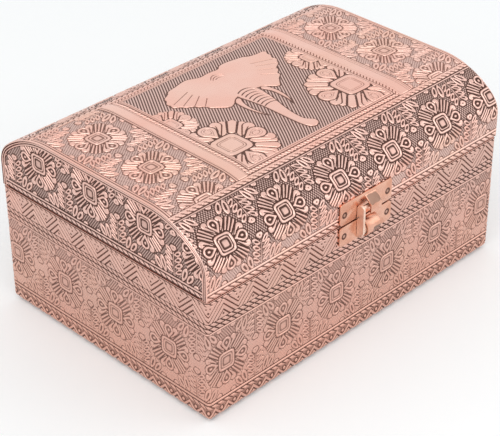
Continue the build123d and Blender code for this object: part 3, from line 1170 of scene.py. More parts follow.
@dataclass
class SheetShape:
    """A thin closed sheet: a fine outer grid, a narrow edge all round and a plain back.

    The back is strips straight across between its border points, so the sheet may bend only up
    its height. Rows run up it, columns along it.
    """

    outer: Grid
    back: Grid
    fields: dict[str, Grid] = field(default_factory=dict)

    def build(self, piece: Piece) -> Object:
        """Makes the sheet, with its fields as attributes and its own map for the pattern.

        Args:
            piece: The piece that it is.

        Returns:
            The new object.
        """
        rows, columns = self.outer.shape[:2]
        count = rows * columns
        front = np.arange(count).reshape(rows, columns)
        left, right = count + np.arange(rows), count + rows + np.arange(rows)
        between = count + 2 * rows + np.arange(columns - 2)
        low = np.concatenate([left[:1], between, right[:1]])
        high = np.concatenate([left[-1:], between + columns - 2, right[-1:]])
        back = self.back
        border = [back[:, 0], back[:, -1], back[0, 1:-1], back[-1, 1:-1]]
        points = np.concatenate([self.outer.reshape(-1, 3)] + border)
        if self.fields:
            grid = cut_squares(front, self.fields["relief"])
        else:
            grid = np.stack(squares(front), -1).reshape(-1, 4)
        edges = [
            (left[:-1], front[:-1, 0], front[1:, 0], left[1:]),
            (front[:-1, -1], right[:-1], right[1:], front[1:, -1]),
            (low[:-1], low[1:], front[0, 1:], front[0, :-1]),
            (high[1:], high[:-1], front[-1, :-1], front[-1, 1:]),
            (left[1:-2], left[2:-1], right[2:-1], right[1:-2]),
        ]
        plain = np.concatenate([np.stack(edge, -1) for edge in edges]).tolist()
        first = [int(left[1]), int(right[1])] + low[::-1].tolist()
        last = high.tolist() + [int(right[-2]), int(left[-2])]
        faces = grid.tolist() + plain + [first, last]
        made = piece.make(points, faces, np.arange(len(faces)) < len(grid))
        if self.fields:
            self._add_fields(made.data, len(points))
            self._add_map(made.data, rows, columns, grid.size)
        return made

    def _add_fields(self, mesh: Mesh, total: int) -> None:
        """Stores each field on the vertices; the edge and back take the values of a hollow.

        Args:
            mesh: The sheet's mesh.
            total: How many vertices it has.
        """
        for name, values in self.fields.items():
            stored = np.zeros(total, np.float32)
            stored[: values.size] = values.ravel()
            mesh.attributes.new(name, "FLOAT", "POINT").data.foreach_set("value", stored)

    def _add_map(self, mesh: Mesh, rows: int, columns: int, own: int) -> None:
        """Lays the outer grid over the map, and everything else along its lower margin.

        Args:
            mesh: The sheet's mesh.
            rows: The grid's rows.
            columns: The grid's columns.
            own: How many face corners are the grid's.
        """
        side, top, foot, strip = 0.004, 0.996, 0.05, 0.035
        u, v = np.linspace(side, top, columns), np.linspace(foot, top, rows)
        at = np.stack(np.meshgrid(u, v), -1).reshape(-1, 2)
        corners = np.empty(len(mesh.loops), np.int64)
        mesh.loops.foreach_get("vertex_index", corners)
        places = np.empty((len(mesh.vertices), 3))
        mesh.vertices.foreach_get("co", places.reshape(-1))
        span = np.ptp(places, axis=0)
        share = ((places - places.min(axis=0)) / np.maximum(span, 1e-6))[:, np.argsort(-span)[:2]]
        uv = (side + share * (top - side, strip))[corners]
        uv[:own] = at[corners[:own]]
        layer = mesh.uv_layers.new(name="OFBake")
        layer.uv.foreach_set("vector", uv.astype(np.float32).ravel())


@dataclass(frozen=True)
class Run:
    """One stretch of a section: a straight run, or an arc about a centre between two angles."""

    start: Point
    end: Point = (0.0, 0.0)
    radius: float = 0.0
    angles: tuple[float, float] = (0.0, 0.0)
    pitch: float = GRID_PITCH

    def length(self) -> float:
        """Length along the run."""
        if self.radius:
            return abs(self.angles[1] - self.angles[0]) * self.radius
        return math.dist(self.start, self.end)

    def at(self, s: Grid, hand: int) -> tuple[Grid, Grid]:
        """Points and outward normals at distances s along the run.

        On a straight run the normal is the direction turned a quarter to the left, or to the
        right where hand is -1; on an arc, where start is its centre, it points away from it.

        Args:
            s: The distances.
            hand: Which side is outside.

        Returns:
            The points and the normals.
        """
        if self.radius:
            turn = np.sign(self.angles[1] - self.angles[0])
            angle = self.angles[0] + turn * s / self.radius
            normal = np.stack([np.cos(angle), np.sin(angle)], -1)
            return np.array(self.start) + self.radius * normal, normal
        direction = (np.array(self.end) - np.array(self.start)) / self.length()
        normal = np.broadcast_to([-hand * direction[1], hand * direction[0]], s.shape + (2,))
        return np.array(self.start) + s[..., None] * direction, normal


@dataclass(frozen=True)
class Section:
    """A section made of runs that join smoothly, measured along its length from a chosen zero.

    Its outside lies to the left where hand is 1, and to the right where it is -1.
    """

    runs: tuple[Run, ...]
    zero: float = 0.0
    hand: int = 1

    def stations(self) -> Grid:
        """Takes even steps within each run, none over the run's pitch.

        Returns:
            Distances from the zero.
        """
        ends = np.concatenate([[0.0], np.cumsum([run.length() for run in self.runs])])
        steps = [math.ceil(run.length() / run.pitch) for run in self.runs]
        pieces = [np.linspace(a, b, n + 1)[:-1] for a, b, n in zip(ends, ends[1:], steps)]
        return np.concatenate(pieces + [ends[-1:]]) - self.zero

    def at(self, s: Grid) -> tuple[Grid, Grid]:
        """Finds each distance's run and its place there; the end runs go on past the ends.

        Args:
            s: Distances from the zero.

        Returns:
            The points and the outward normals.
        """
        points, normals = np.zeros((2,) + s.shape + (2,))
        start = -self.zero
        for index, run in enumerate(self.runs):
            end = start + run.length()
            last = index == len(self.runs) - 1
            here = ((s >= start) | (index == 0)) & ((s < end) | last)
            points[here], normals[here] = run.at(s[here] - start, self.hand)
            start = end
        return points, normals


# Embossed cladding


@dataclass
class BaseCladding:
    """The sheet wrapped round the four walls: under the bottom edge, up the wall, over the rim."""

    corner_radius: float = 2.0
    bottom_radius: float = 4.0
    fold_under: float = 3.0
    fold_pitch: float = 1.5
    seam: float = 0.3
    relief_depth: float = 0.42
    stretches: tuple[tuple[Side, float, float, str], ...] = (
        (Side.FRONT, -1.0, 0.0, "front_left"),
        (Side.FRONT, 0.0, 1.0, "front_right"),
        (Side.RIGHT, -1.0, 1.0, "right"),
        (Side.REAR, -1.0, 0.0, "rear_right"),
        (Side.REAR, 0.0, 1.0, "rear_left"),
        (Side.LEFT, -1.0, 1.0, "left"),
    )

    def __post_init__(self) -> None:
        """Reads the wrap's size from its solid: how far each wall reaches and stands out."""
        self.low, self.high = box_mm("base_embossed_sheet")
        length, depth = self.high[:2]
        self.reach = {side: depth if side.value[0] else length for side in Side}
        self.stand = {side: length if side.value[0] else depth for side in Side}

    def section(self) -> Section:
        """The outer section, its zero at height 0.

        Returns:
            The section, as outward offset from the wall's face and height.
        """
        floor, rim = self.low[2], self.high[2]
        turn, top = self.bottom_radius, RIM_ROUND
        runs = (
            Run((-turn - self.fold_under, floor), (-turn, floor), pitch=self.fold_pitch),
            Run((-turn, floor + turn), radius=turn, angles=(-QUARTER, 0.0)),
            Run((0.0, floor + turn), (0.0, rim - top)),
            Run((-top, rim - top), radius=top, angles=(0.0, QUARTER)),
            Run((-top, rim), (-RIM_FOLD, rim), pitch=self.fold_pitch),
        )
        return Section(runs, self.fold_under + turn * QUARTER - (floor + turn), hand=-1)

    def plan(self, side: Side, w: Grid, offset: Grid) -> tuple[Grid, Grid]:
        """Where a point of the wrap lies in plan.

        The outline at an offset is a rectangle grown by it, with corners of radius + offset.

        Args:
            side: The wall.
            w: Distance along the wall from its middle, round the corner to its diagonal.
            offset: Outward offset from the wall's face.

        Returns:
            Distance along the wall, and distance out from the box's middle.
        """
        radius = np.maximum(self.corner_radius + offset, 0.0)
        straight = self.reach[side] - self.corner_radius
        corner = self.reach[side] + offset - radius
        angle = np.clip(np.abs(w) - straight, 0.0, None) / self.corner_radius
        round_it = np.sign(w) * (corner + radius * np.sin(angle))
        along = np.where(np.abs(w) <= straight, w * corner / straight, round_it)
        return along, self.stand[side] + offset - radius + radius * np.cos(angle)

    def stand_up(self, side: Side, along: Grid, out: Grid, height: Grid) -> Grid:
        """Plan and height as points; along runs to the right as seen from outside."""
        nx, ny = side.value
        return np.stack([nx * out - ny * along, ny * out + nx * along, height], -1)

    def unrolled(self, side: Side, w: Grid) -> Grid:
        """Distance round the wrap from the front's middle; its ends meet at the rear's middle."""
        quarter = (QUARTER - 2.0) * self.corner_radius + self.high[0] + self.high[1]
        turns = np.where(w < 0, 2.0, -2.0) if side is Side.REAR else side.value[0]
        return w + turns * quarter

    def build(self, side: Side, low: float, high: float, name: str) -> None:
        """Makes a stretch of the wrap.

        Args:
            side: The wall.
            low: Its left end, as a share of the way from the wall's middle to a corner's diagonal.
            high: Its right end, in the same way.
            name: The end of the piece's name.
        """
        section, rim = self.section(), self.high[2]
        end = self.reach[side] - self.corner_radius + self.corner_radius * math.pi / 4
        gap = self.seam / 2 if side is Side.REAR else 0.0
        ends = [share * end if share else gap * np.sign(low + high) for share in (low, high)]
        w, s = np.meshgrid(spread(*ends, GRID_PITCH), section.stations())
        relief = striped(WALL_STRIPS, self.unrolled(side, w), s)
        relief.fade(rise(-3.2, -1.0, s) * rise(rim + 0.2, rim - 0.3, s))
        if gap:
            relief.fade(rise(0.0, 0.8, np.abs(w) - gap), level=0.8)
        points, normals = section.at(s)
        sunk = points - normals * (self.relief_depth * (1.0 - relief.height))[..., None]
        outer = self.stand_up(side, *self.plan(side, w, sunk[..., 0]), sunk[..., 1])
        offset, height = np.moveaxis(points - normals * SHEET, -1, 0)
        along = w / end * (self.reach[side] + offset)
        back = self.stand_up(side, along, self.stand[side] + offset, height)
        piece = Piece("base_sheet_" + name, "base_embossed_sheet", Body.BASE, Finish.EMBOSSED)
        SheetShape(outer, back, relief.fields()).build(piece)

    def build_all(self) -> None:
        """Makes the wrap: long walls in two halves, short walls whole."""
        for stretch in self.stretches:
            self.build(*stretch)


@dataclass
class LidShape:
    """The lid's arched section: a straight wall, a tight shoulder, a long curve, a flat crown."""

    shoulder_radius: float = 14.0
    shoulder_reach: float = 36.5
    wall_height: float = 12.9
    search_from: float = 20.0
    search_steps: int = 20000

    def __post_init__(self) -> None:
        """Reads the lid's size from its solids and works out its curves.

        The long curve touches the shoulder and ends level. The front sheet meets the crown sheet
        at the distance split from the rim, looked up on the part where depth only grows; whole is
        the distance from rim to rim.
        """
        low, high = box_mm("lid_front_sheet")
        self.half_length, self.half_depth, self.rim = high[0], -low[1], low[2]
        self.top = box_mm("lid_crown_sheet")[1][2]
        tight, reach = self.shoulder_radius, self.shoulder_reach - self.shoulder_radius
        fall = self.top - self.rim - self.wall_height
        self.crown_radius = (reach**2 + fall**2 - tight**2) / (2 * (fall - tight))
        self.change = math.atan2(self.crown_radius - fall, -reach)
        self.section = self.arch()
        half = sum(run.length() for run in self.section.runs) - self.section.zero
        self.whole = 2 * half
        s = np.linspace(self.search_from, half, self.search_steps)
        self.split = float(np.interp(high[1], self.at(s)[0][:, 0], s))

    def arch(self) -> Section:
        """The section of the front half, from the rim's fold to the crown's middle.

        Returns:
            The section, its zero at the rim.
        """
        y, z, tight, turn = -self.half_depth, self.rim, self.shoulder_radius, RIM_ROUND
        start, stop, long = z + self.wall_height, y + self.shoulder_reach, self.crown_radius
        runs = (
            Run((y + RIM_FOLD, z), (y + turn, z)),
            Run((y + turn, z + turn), radius=turn, angles=(-QUARTER, -math.pi)),
            Run((y, z + turn), (y, start)),
            Run((y + tight, start), radius=tight, angles=(math.pi, self.change)),
            Run((stop, self.top - long), radius=long, angles=(self.change, QUARTER)),
            Run((stop, self.top), (0.0, self.top)),
        )
        return Section(runs, RIM_FOLD - turn + turn * QUARTER - turn)

    def at(self, s: Grid) -> tuple[Grid, Grid]:
        """Points on the whole arch, the rear half mirroring the front one.

        Args:
            s: Distances from the front rim.

        Returns:
            The points and the outward normals.
        """
        rear = s > self.whole / 2
        points, normals = self.section.at(np.where(rear, self.whole - s, s))
        mirror = np.stack([np.where(rear, -1.0, 1.0), np.ones(s.shape)], -1)
        return points * mirror, normals * mirror

    def bent(self, x: Grid, s: Grid, depth: Grid | float) -> Grid:
        """A grid bent over the arch, at a depth inside its outer skin."""
        points, normals = self.at(s)
        points = points - normals * np.broadcast_to(depth, s.shape)[..., None]
        return np.concatenate([x[..., None], points], -1)

    def end_grid(self, inset: float, lift: float, pitch: float, direction: int) -> Motif:
        """A grid over one arched end.

        Columns follow the arch's outline at even steps; each column's rows run evenly up to it.

        Args:
            inset: Distance inside the arch's outer skin.
            lift: Height of the lowest row above the rim.
            pitch: Spacing of the points.
            direction: 1 for a grid that faces +X and -1 for one that faces -X.

        Returns:
            Depths and heights of the points.
        """
        s = spread(self.wall_height, self.whole - self.wall_height, pitch)
        points, normals = self.at(s)
        y, z = (points - normals * inset)[::direction].T
        share = spread(0.0, 1.0, pitch / (self.top - self.rim))[:, None]
        low = self.rim + lift
        return np.broadcast_to(y, (len(share), len(s))), low + share * (z - low)

    def distance_to_arch(self, y: Grid, z: Grid, inset: float) -> Grid:
        """Distance inside the arch's outline: from the nearer of its arcs or its straight runs.

        Args:
            y: Depth.
            z: Height.
            inset: Distance of the outline inside the arch's outer skin.

        Returns:
            The distance.
        """
        side = np.abs(y)
        tight_y, tight_z = self.half_depth - self.shoulder_radius, self.rim + self.wall_height
        long_y, long_z = self.half_depth - self.shoulder_reach, self.top - self.crown_radius
        tight = self.shoulder_radius - np.hypot(side - tight_y, z - tight_z)
        long = self.crown_radius - np.hypot(side - long_y, z - long_z)
        below = np.where((z > tight_z) & (side > tight_y), tight, self.half_depth - side)
        on_long = (np.arctan2(z - long_z, long_y - side) < self.change) & (z > long_z)
        curved = np.where(on_long & (side > long_y), long, below)
        return np.where(side <= long_y, self.top - z, curved) - inset


@dataclass
class LidCladding:
    """The lid's embossed sheets: front and rear strips, three crown panels and two ends."""

    shape: LidShape
    left_strip: tuple[float, float] = (-57.6, -52.0)
    right_strip: tuple[float, float] = (53.8, 60.2)
    panel_border: float = 46.4
    arch_edge: float = 0.45
    end_edge: float = 0.35

    @staticmethod
    def piece(name: str, node: str) -> Piece:
        """One of these sheets."""
        return Piece(name, node, Body.LID, Finish.EMBOSSED)

    def arched(
        self,
        piece: Piece,
        x_span: tuple[float, float],
        s_span: tuple[float, float],
        ornament: Worked,
    ) -> None:
        """Makes a stretch of sheet over the arch.

        Args:
            piece: The piece that it is.
            x_span: Its left and right ends.
            s_span: Its lower and upper edges, as distances along the section.
            ornament: Gives the surface at (x, s).
        """
        x, s = np.meshgrid(spread(*x_span, GRID_PITCH), spread(*s_span, GRID_PITCH))
        from_end = self.shape.half_length - np.abs(x)
        relief = ornament(x, s).fade(rise(0.2, 0.8, from_end))
        sag = self.arch_edge * (1.0 - rolled(from_end, self.arch_edge))
        outer = self.shape.bent(x, s, RELIEF_DEPTH * (1.0 - relief.height) + sag)
        SheetShape(outer, self.shape.bent(x, s, SHEET), relief.fields()).build(piece)

    def band(self, side: Side) -> None:
        """Makes the front or rear strip, from the fold under the rim up over the shoulder.

        Args:
            side: The front or the rear.
        """
        front, half, whole = side is Side.FRONT, self.shape.half_length, self.shape.whole
        span = (-self.shape.section.zero, self.shape.split)

        def ornament(x: Grid, s: Grid) -> Relief:
            """Works strips by distance from this side's rim; hollows get darker from 10 to 20 mm
            above it.

            Args:
                x: Distance to the right of the box's middle.
                s: Distance along the section.

            Returns:
                The surface.
            """
            up = s if front else whole - s
            relief = striped(BAND_STRIPS, x, up).fade(rise(-0.2, 0.1, up))
            relief.tarnish = relief.tarnish * (0.5 + 0.5 * rise(10.0, 20.0, up))
            return relief

        if not front:
            span = (whole - span[1], whole - span[0])
        piece = self.piece(f"lid_sheet_{side.key}", f"lid_{side.key}_sheet")
        self.arched(piece, (-half, half), span, ornament)

    def crown(self) -> None:
        """Makes the crown's three panels."""
        half, split = self.shape.half_length, self.shape.split
        left, right = self.left_strip[0], self.right_strip[1]
        for name, low, high, ornament in (
            ("left", -half, left, self.flower_panel),
            ("middle", left, right, self.middle_panel),
            ("right", right, half, self.flower_panel),
        ):
            piece = self.piece(f"crown_{name}_panel", "lid_crown_sheet")
            self.arched(piece, (low, high), (split, self.shape.whole - split), ornament)

    def from_border(self, s: Grid) -> Grid:
        """Distance from the crown's front or rear border, whichever is nearer."""
        return np.minimum(s, self.shape.whole - s) - self.panel_border

    def bordered(self, relief: Relief, x: Grid, s: Grid) -> Relief:
        """Lays a line and a fine cord along the crown's front and rear edges."""
        low = self.from_border(s)
        relief.put(low < 0.4, lines_at(-0.4)(x, low))
        return relief.put(low < -0.9, cord_at(-1.6, 1.25, 3.4, 1.2)(x, low))

    def flower_panel(self, x: Grid, s: Grid) -> Relief:
        """A panel of flowers at either end of the crown, framed by raised lines and a cord.

        Args:
            x: Distance to the right of the box's middle.
            s: Distance along the section.

        Returns:
            The panel's surface.
        """
        outer = self.shape.half_length - 2.8
        inner = np.where(x < 0, -self.left_strip[0], self.right_strip[1]) + 1.9
        across, reach = np.abs(x) - (outer + inner) / 2, (outer - inner) / 2
        relief = flower_field(s - 81.3, across, LID_PITCH, float(np.mean(reach)), 0.45)
        # The left panel's hollows are painted darker than the right's, as painted shade on the less
        # lit side.
        relief.fade(0.88, level=1.0).tarnish = np.where(x < 0, 0.5, 0.3)
        beyond = np.abs(across) - reach
        relief.put(beyond > 0, lines_at(0.9, 2.1, half=0.32)(s, beyond))
        return self.bordered(relief, x, s)

    def middle_panel(self, x: Grid, s: Grid) -> Relief:
        """The middle of the crown: two polished strips and a framed panel with an elephant's head.

        Args:
            x: Distance to the right of the box's middle.
            s: Distance along the section.

        Returns:
            The panel's surface.
        """
        low, high = self.left_strip[1], self.right_strip[0]
        from_side, from_low = np.minimum(x - low, high - x), self.from_border(s)
        inward = np.minimum(from_side, from_low)
        along = np.where(from_side < from_low, s, x)
        from_right = np.abs(x - (low + high) / 2) - (high - low) / 2
        relief = Relief.hatched(x, s).lay(
            rosette(from_right + 12.2, s - 69.6, scale=1.62, broad=True),
            rosette(from_right + 4.6, s - 103.0, scale=0.98, broad=True),
            ElephantHead().motif(x, s),
        )
        relief.tarnish = 0.15 + 0.3 * (inward > 0.5) + 0.3 * (inward > 4.7)
        relief.put(inward < 4.7, lines_at(3.4, 4.4, half=0.28)(along, inward))
        relief.put(inward < 2.7, cord_at(1.6, 1.0, 2.1, 0.8)(along, inward))
        strip = Relief.plain(x, s, level=0.97)
        edge = np.minimum(-from_side, from_side + self.left_strip[1] - self.left_strip[0])
        strip.height = strip.height - 0.75 * ridge(edge - 0.1, 0.22) * (from_side < 0)
        return self.bordered(relief.put(inward < 0.5, strip), x, s)

    def end(self, side: Side) -> None:
        """Makes the arched sheet on one end of the lid.

        Args:
            side: The left or the right.
        """
        direction, inset, rim = side.value[0], SHEET + 0.1, self.shape.rim
        y, z = self.shape.end_grid(inset, 0.0, GRID_PITCH, direction)
        arch = self.shape.distance_to_arch(y, z, inset)
        relief = striped(END_STRIPS, direction * y, z - rim)
        relief.put(arch < 2.4, lines_at(0.6, 1.8)(y, arch))
        sag = self.end_edge * (1.0 - rolled(np.minimum(arch, z - rim), self.end_edge))
        out = self.shape.half_length - RELIEF_DEPTH * (1.0 - relief.height) - sag
        back = np.full(y.shape, self.shape.half_length - SHEET)
        outer, back = (np.stack([direction * x, y, z], -1) for x in (out, back))
        piece = self.piece(f"lid_sheet_{side.key}", f"lid_{side.key}_sheet")
        SheetShape(outer, back, relief.fields()).build(piece)

    def rim_fold(self, side: Side) -> None:
        """Makes an end sheet's edge, turned in under the rim between the front and rear strips.

        Args:
            side: The left or the right.
        """
        half, rim, reach = self.shape.half_length, self.shape.rim, self.shape.half_depth
        xs = sorted(side.value[0] * x for x in (half - SHEET - 0.02, half - RIM_FOLD))
        reach = reach - RIM_FOLD - 0.1
        low, high = np.array([xs[0], -reach, rim]), np.array([xs[1], reach, rim + SHEET])
        panel = Panel(low, high, normal=(0, 0, -1), up=(0, 1, 0), edge=0.2, fine=0.6)
        piece = self.piece(f"lid_fold_{side.key}", f"lid_{side.key}_sheet")
        panel.shape(Relief.plain).build(piece)

    def build(self) -> None:
        """Makes every sheet of the lid."""
        for side in (Side.FRONT, Side.REAR):
            self.band(side)
        self.crown()
        for side in (Side.LEFT, Side.RIGHT):
            self.end(side)
            self.rim_fold(side)


@dataclass(frozen=True)
class ElephantHead:
    """A plain elephant's head seen from the front, its ears spread like fans."""

    head: Outline = Outline((
        (-5.0, 127.4), (-8.5, 128.8), (-13.0, 130.2), (-20.0, 128.9), (-27.0, 127.0),
        (-32.5, 123.0), (-35.2, 118.0), (-34.6, 113.2), (-30.8, 110.2), (-27.5, 107.0),
        (-24.2, 104.4), (-22.6, 101.2), (-19.5, 98.4), (-15.5, 95.2), (-11.5, 96.2),
        (-7.0, 99.5), (0.0, 100.5), (8.0, 99.5), (11.5, 98.0), (14.2, 95.0), (17.2, 93.4),
        (20.5, 97.0), (24.5, 100.6), (28.0, 105.2), (31.8, 109.2), (35.4, 112.2), (36.2, 117.0),
        (37.6, 122.2), (36.4, 125.2), (30.5, 125.9), (22.0, 128.4), (14.0, 129.7), (9.8, 129.2),
        (7.0, 127.3), (1.0, 127.8),
    ))
    trunk: Outline = Outline((
        (0.5, 103.5), (-5.4, 101.0), (-4.6, 93.0), (-3.7, 85.0), (-3.6, 75.0), (-3.6, 66.0),
        (-3.2, 59.5), (-1.6, 55.4), (1.2, 54.2), (4.2, 55.6), (4.8, 58.2), (3.2, 60.4),
        (1.7, 63.0), (1.9, 70.0), (3.2, 77.0), (5.2, 84.5), (6.6, 91.0), (7.0, 100.0),
    ))
    left_tusk: Outline = Outline((
        (-9.6, 99.0), (-11.0, 94.0), (-11.0, 88.0), (-9.9, 82.0), (-7.8, 76.6), (-8.7, 83.0),
        (-8.8, 89.0), (-7.6, 94.0), (-5.9, 98.0),
    ))
    right_tusk: Outline = Outline((
        (8.0, 98.0), (10.0, 93.0), (10.3, 87.0), (9.8, 81.0), (8.6, 76.0), (11.4, 82.0),
        (12.8, 88.0), (12.6, 94.0), (11.0, 99.0),
    ))
    ear_folds: tuple[tuple[Point, Point], ...] = (
        ((-33.0, 116.0), (-19.6, 120.6)), ((-30.5, 111.8), (-19.8, 116.9)),
        ((-27.2, 107.6), (-18.4, 113.6)), ((-23.0, 104.4), (-17.2, 109.4)),
        ((34.0, 115.2), (22.6, 119.6)), ((32.2, 110.9), (22.6, 115.9)),
        ((28.6, 106.8), (20.6, 112.2)), ((24.2, 102.6), (18.4, 107.6)),
    )
    middle: float = 1.0

    def motif(self, x: Grid, s: Grid) -> Motif:
        """The head over its tusks: ears with folds and scallops, a brow's jewel, a trunk.

        The trunk's wrinkles are arcs s + 0.07 (x - 1)^2 at even steps, and the jewel is three
        arcs s + 0.16 (x - 1)^2.

        Args:
            x: Distance to the right of the box's middle.
            s: Distance along the section.

        Returns:
            The head as one motif.
        """
        off = x - self.middle
        scallops = 0.4 * (np.cos(s * TURN / 4.4) - 0.4) * rise(19.0, 25.0, np.abs(x))
        shapes = (
            (self.head.inside(x, s) + scallops, 0.97),
            (self.trunk.inside(x, s), 0.98),
            (self.left_tusk.inside(x, s), 0.9),
            (self.right_tusk.inside(x, s), 0.9),
        )
        motifs = [raised(inside, level, edge=0.6, outline=0.4) for inside, level in shapes]
        (head, head_cover), (trunk, trunk_cover), *tusks = motifs
        folds = highest(*[ridge(from_line(x, s, *fold), 0.24, 0.34) for fold in self.ear_folds])
        jewel = s + 0.16 * off**2
        brow = highest(*[ridge(jewel - 120.6 - 1.7 * step, 0.3, 0.4) for step in range(3)])
        brow = brow * rise(4.9, 4.1, np.abs(off)) * rise(119.4, 120.0, s) * rise(125.8, 125.0, s)
        arcs = s + 0.07 * off**2
        wrinkle = ridge(folded(arcs - 87.8, 2.6), 0.42, 0.4)
        wrinkle = wrinkle * rise(83.0, 84.0, arcs) * rise(106.0, 105.0, arcs)
        wrinkle = wrinkle * rise(4.6, 3.8, np.abs(off) - 0.04 * (s - 88.0))
        top = highest(head * (1.0 - 0.75 * highest(folds, brow)), trunk) * (1.0 - 0.85 * wrinkle)
        return stacked(*tusks, (top, highest(head_cover, trunk_cover)))


# Cloth and flat panels


def close_set(length: float, edge: float, fine: float) -> Grid:
    """Stations over a length: close together within its two rolled edges, even steps between."""
    near = edge * np.array([0.0, 0.04, 0.14, 0.3, 0.55])
    return np.concatenate([near, spread(edge, length - edge, fine), length - near[::-1]])


@dataclass(frozen=True)
class Pile:
    """How thick cloth lies over its board, as a share of its full thickness.

    It is a fifth at the border, comes up by a rolled edge, and swells a little from there by the
    waves 0.5 + 0.3 sin(a / p) sin(b / q) + 0.2 sin(a / r + b / t).
    """

    edge: float
    swell: float
    waves: tuple[float, float, float, float]
    at_border: float = 0.2
    swells_over: float = 6.0

    def thickness(self, a: Grid, b: Grid, rolls: Grid, border: Grid) -> Grid:
        """The share at each point of a grid.

        Args:
            a: Distance along the cloth.
            b: Distance across it.
            rolls: Distance from the borders that are rolled.
            border: Distance from the nearest border.

        Returns:
            The share.
        """
        p, q, r, t = self.waves
        waves = 0.5 + 0.3 * np.sin(a / p) * np.sin(b / q) + 0.2 * np.sin(a / r + b / t)
        flat = self.at_border + (1.0 - self.at_border - self.swell) * rolled(rolls, self.edge)
        return flat + self.swell * rise(0.0, self.swells_over, border) * waves


@dataclass(frozen=True)
class Panel:
    """A thin flat panel that fills a box, with rolled edges on its shown side.

    Across runs to the right as seen from the side that its normal points to: up x normal.
    """

    low: Grid
    high: Grid
    normal: tuple[int, int, int]
    up: tuple[int, int, int]
    edge: float = 0.8
    fine: float = 2.5
    swell: float = 0.0

    def axes(self) -> tuple[Grid, Grid, Grid]:
        """Directions across, up and out."""
        normal, up = np.array(self.normal, float), np.array(self.up, float)
        return np.cross(up, normal), up, normal

    def size(self) -> tuple[float, float, float]:
        """Width, height and thickness, in millimetres."""
        return tuple(float(np.abs(axis) @ (self.high - self.low)) for axis in self.axes())

    def shape(self, ornament: Worked | None = None) -> SheetShape:
        """The panel as a sheet.

        Args:
            ornament: Gives the surface that its material reads, where it has one.

        Returns:
            The sheet.
        """
        (across, up, normal), (width, height, thick) = self.axes(), self.size()
        corner = np.where(across + up + normal > 0, self.low, self.high)
        stations = [close_set(length, self.edge, self.fine) for length in (width, height)]
        u, v = np.meshgrid(*stations)
        border = lowest(u, width - u, v, height - v)
        pile = Pile(self.edge, self.swell, (17.0, 13.0, 7.0, 9.0))
        out = thick * pile.thickness(u, v, border, border)
        back = corner + u[..., None] * across + v[..., None] * up
        fields = ornament(u, v).fields() if ornament else {}
        return SheetShape(back + out[..., None] * normal, back, fields)


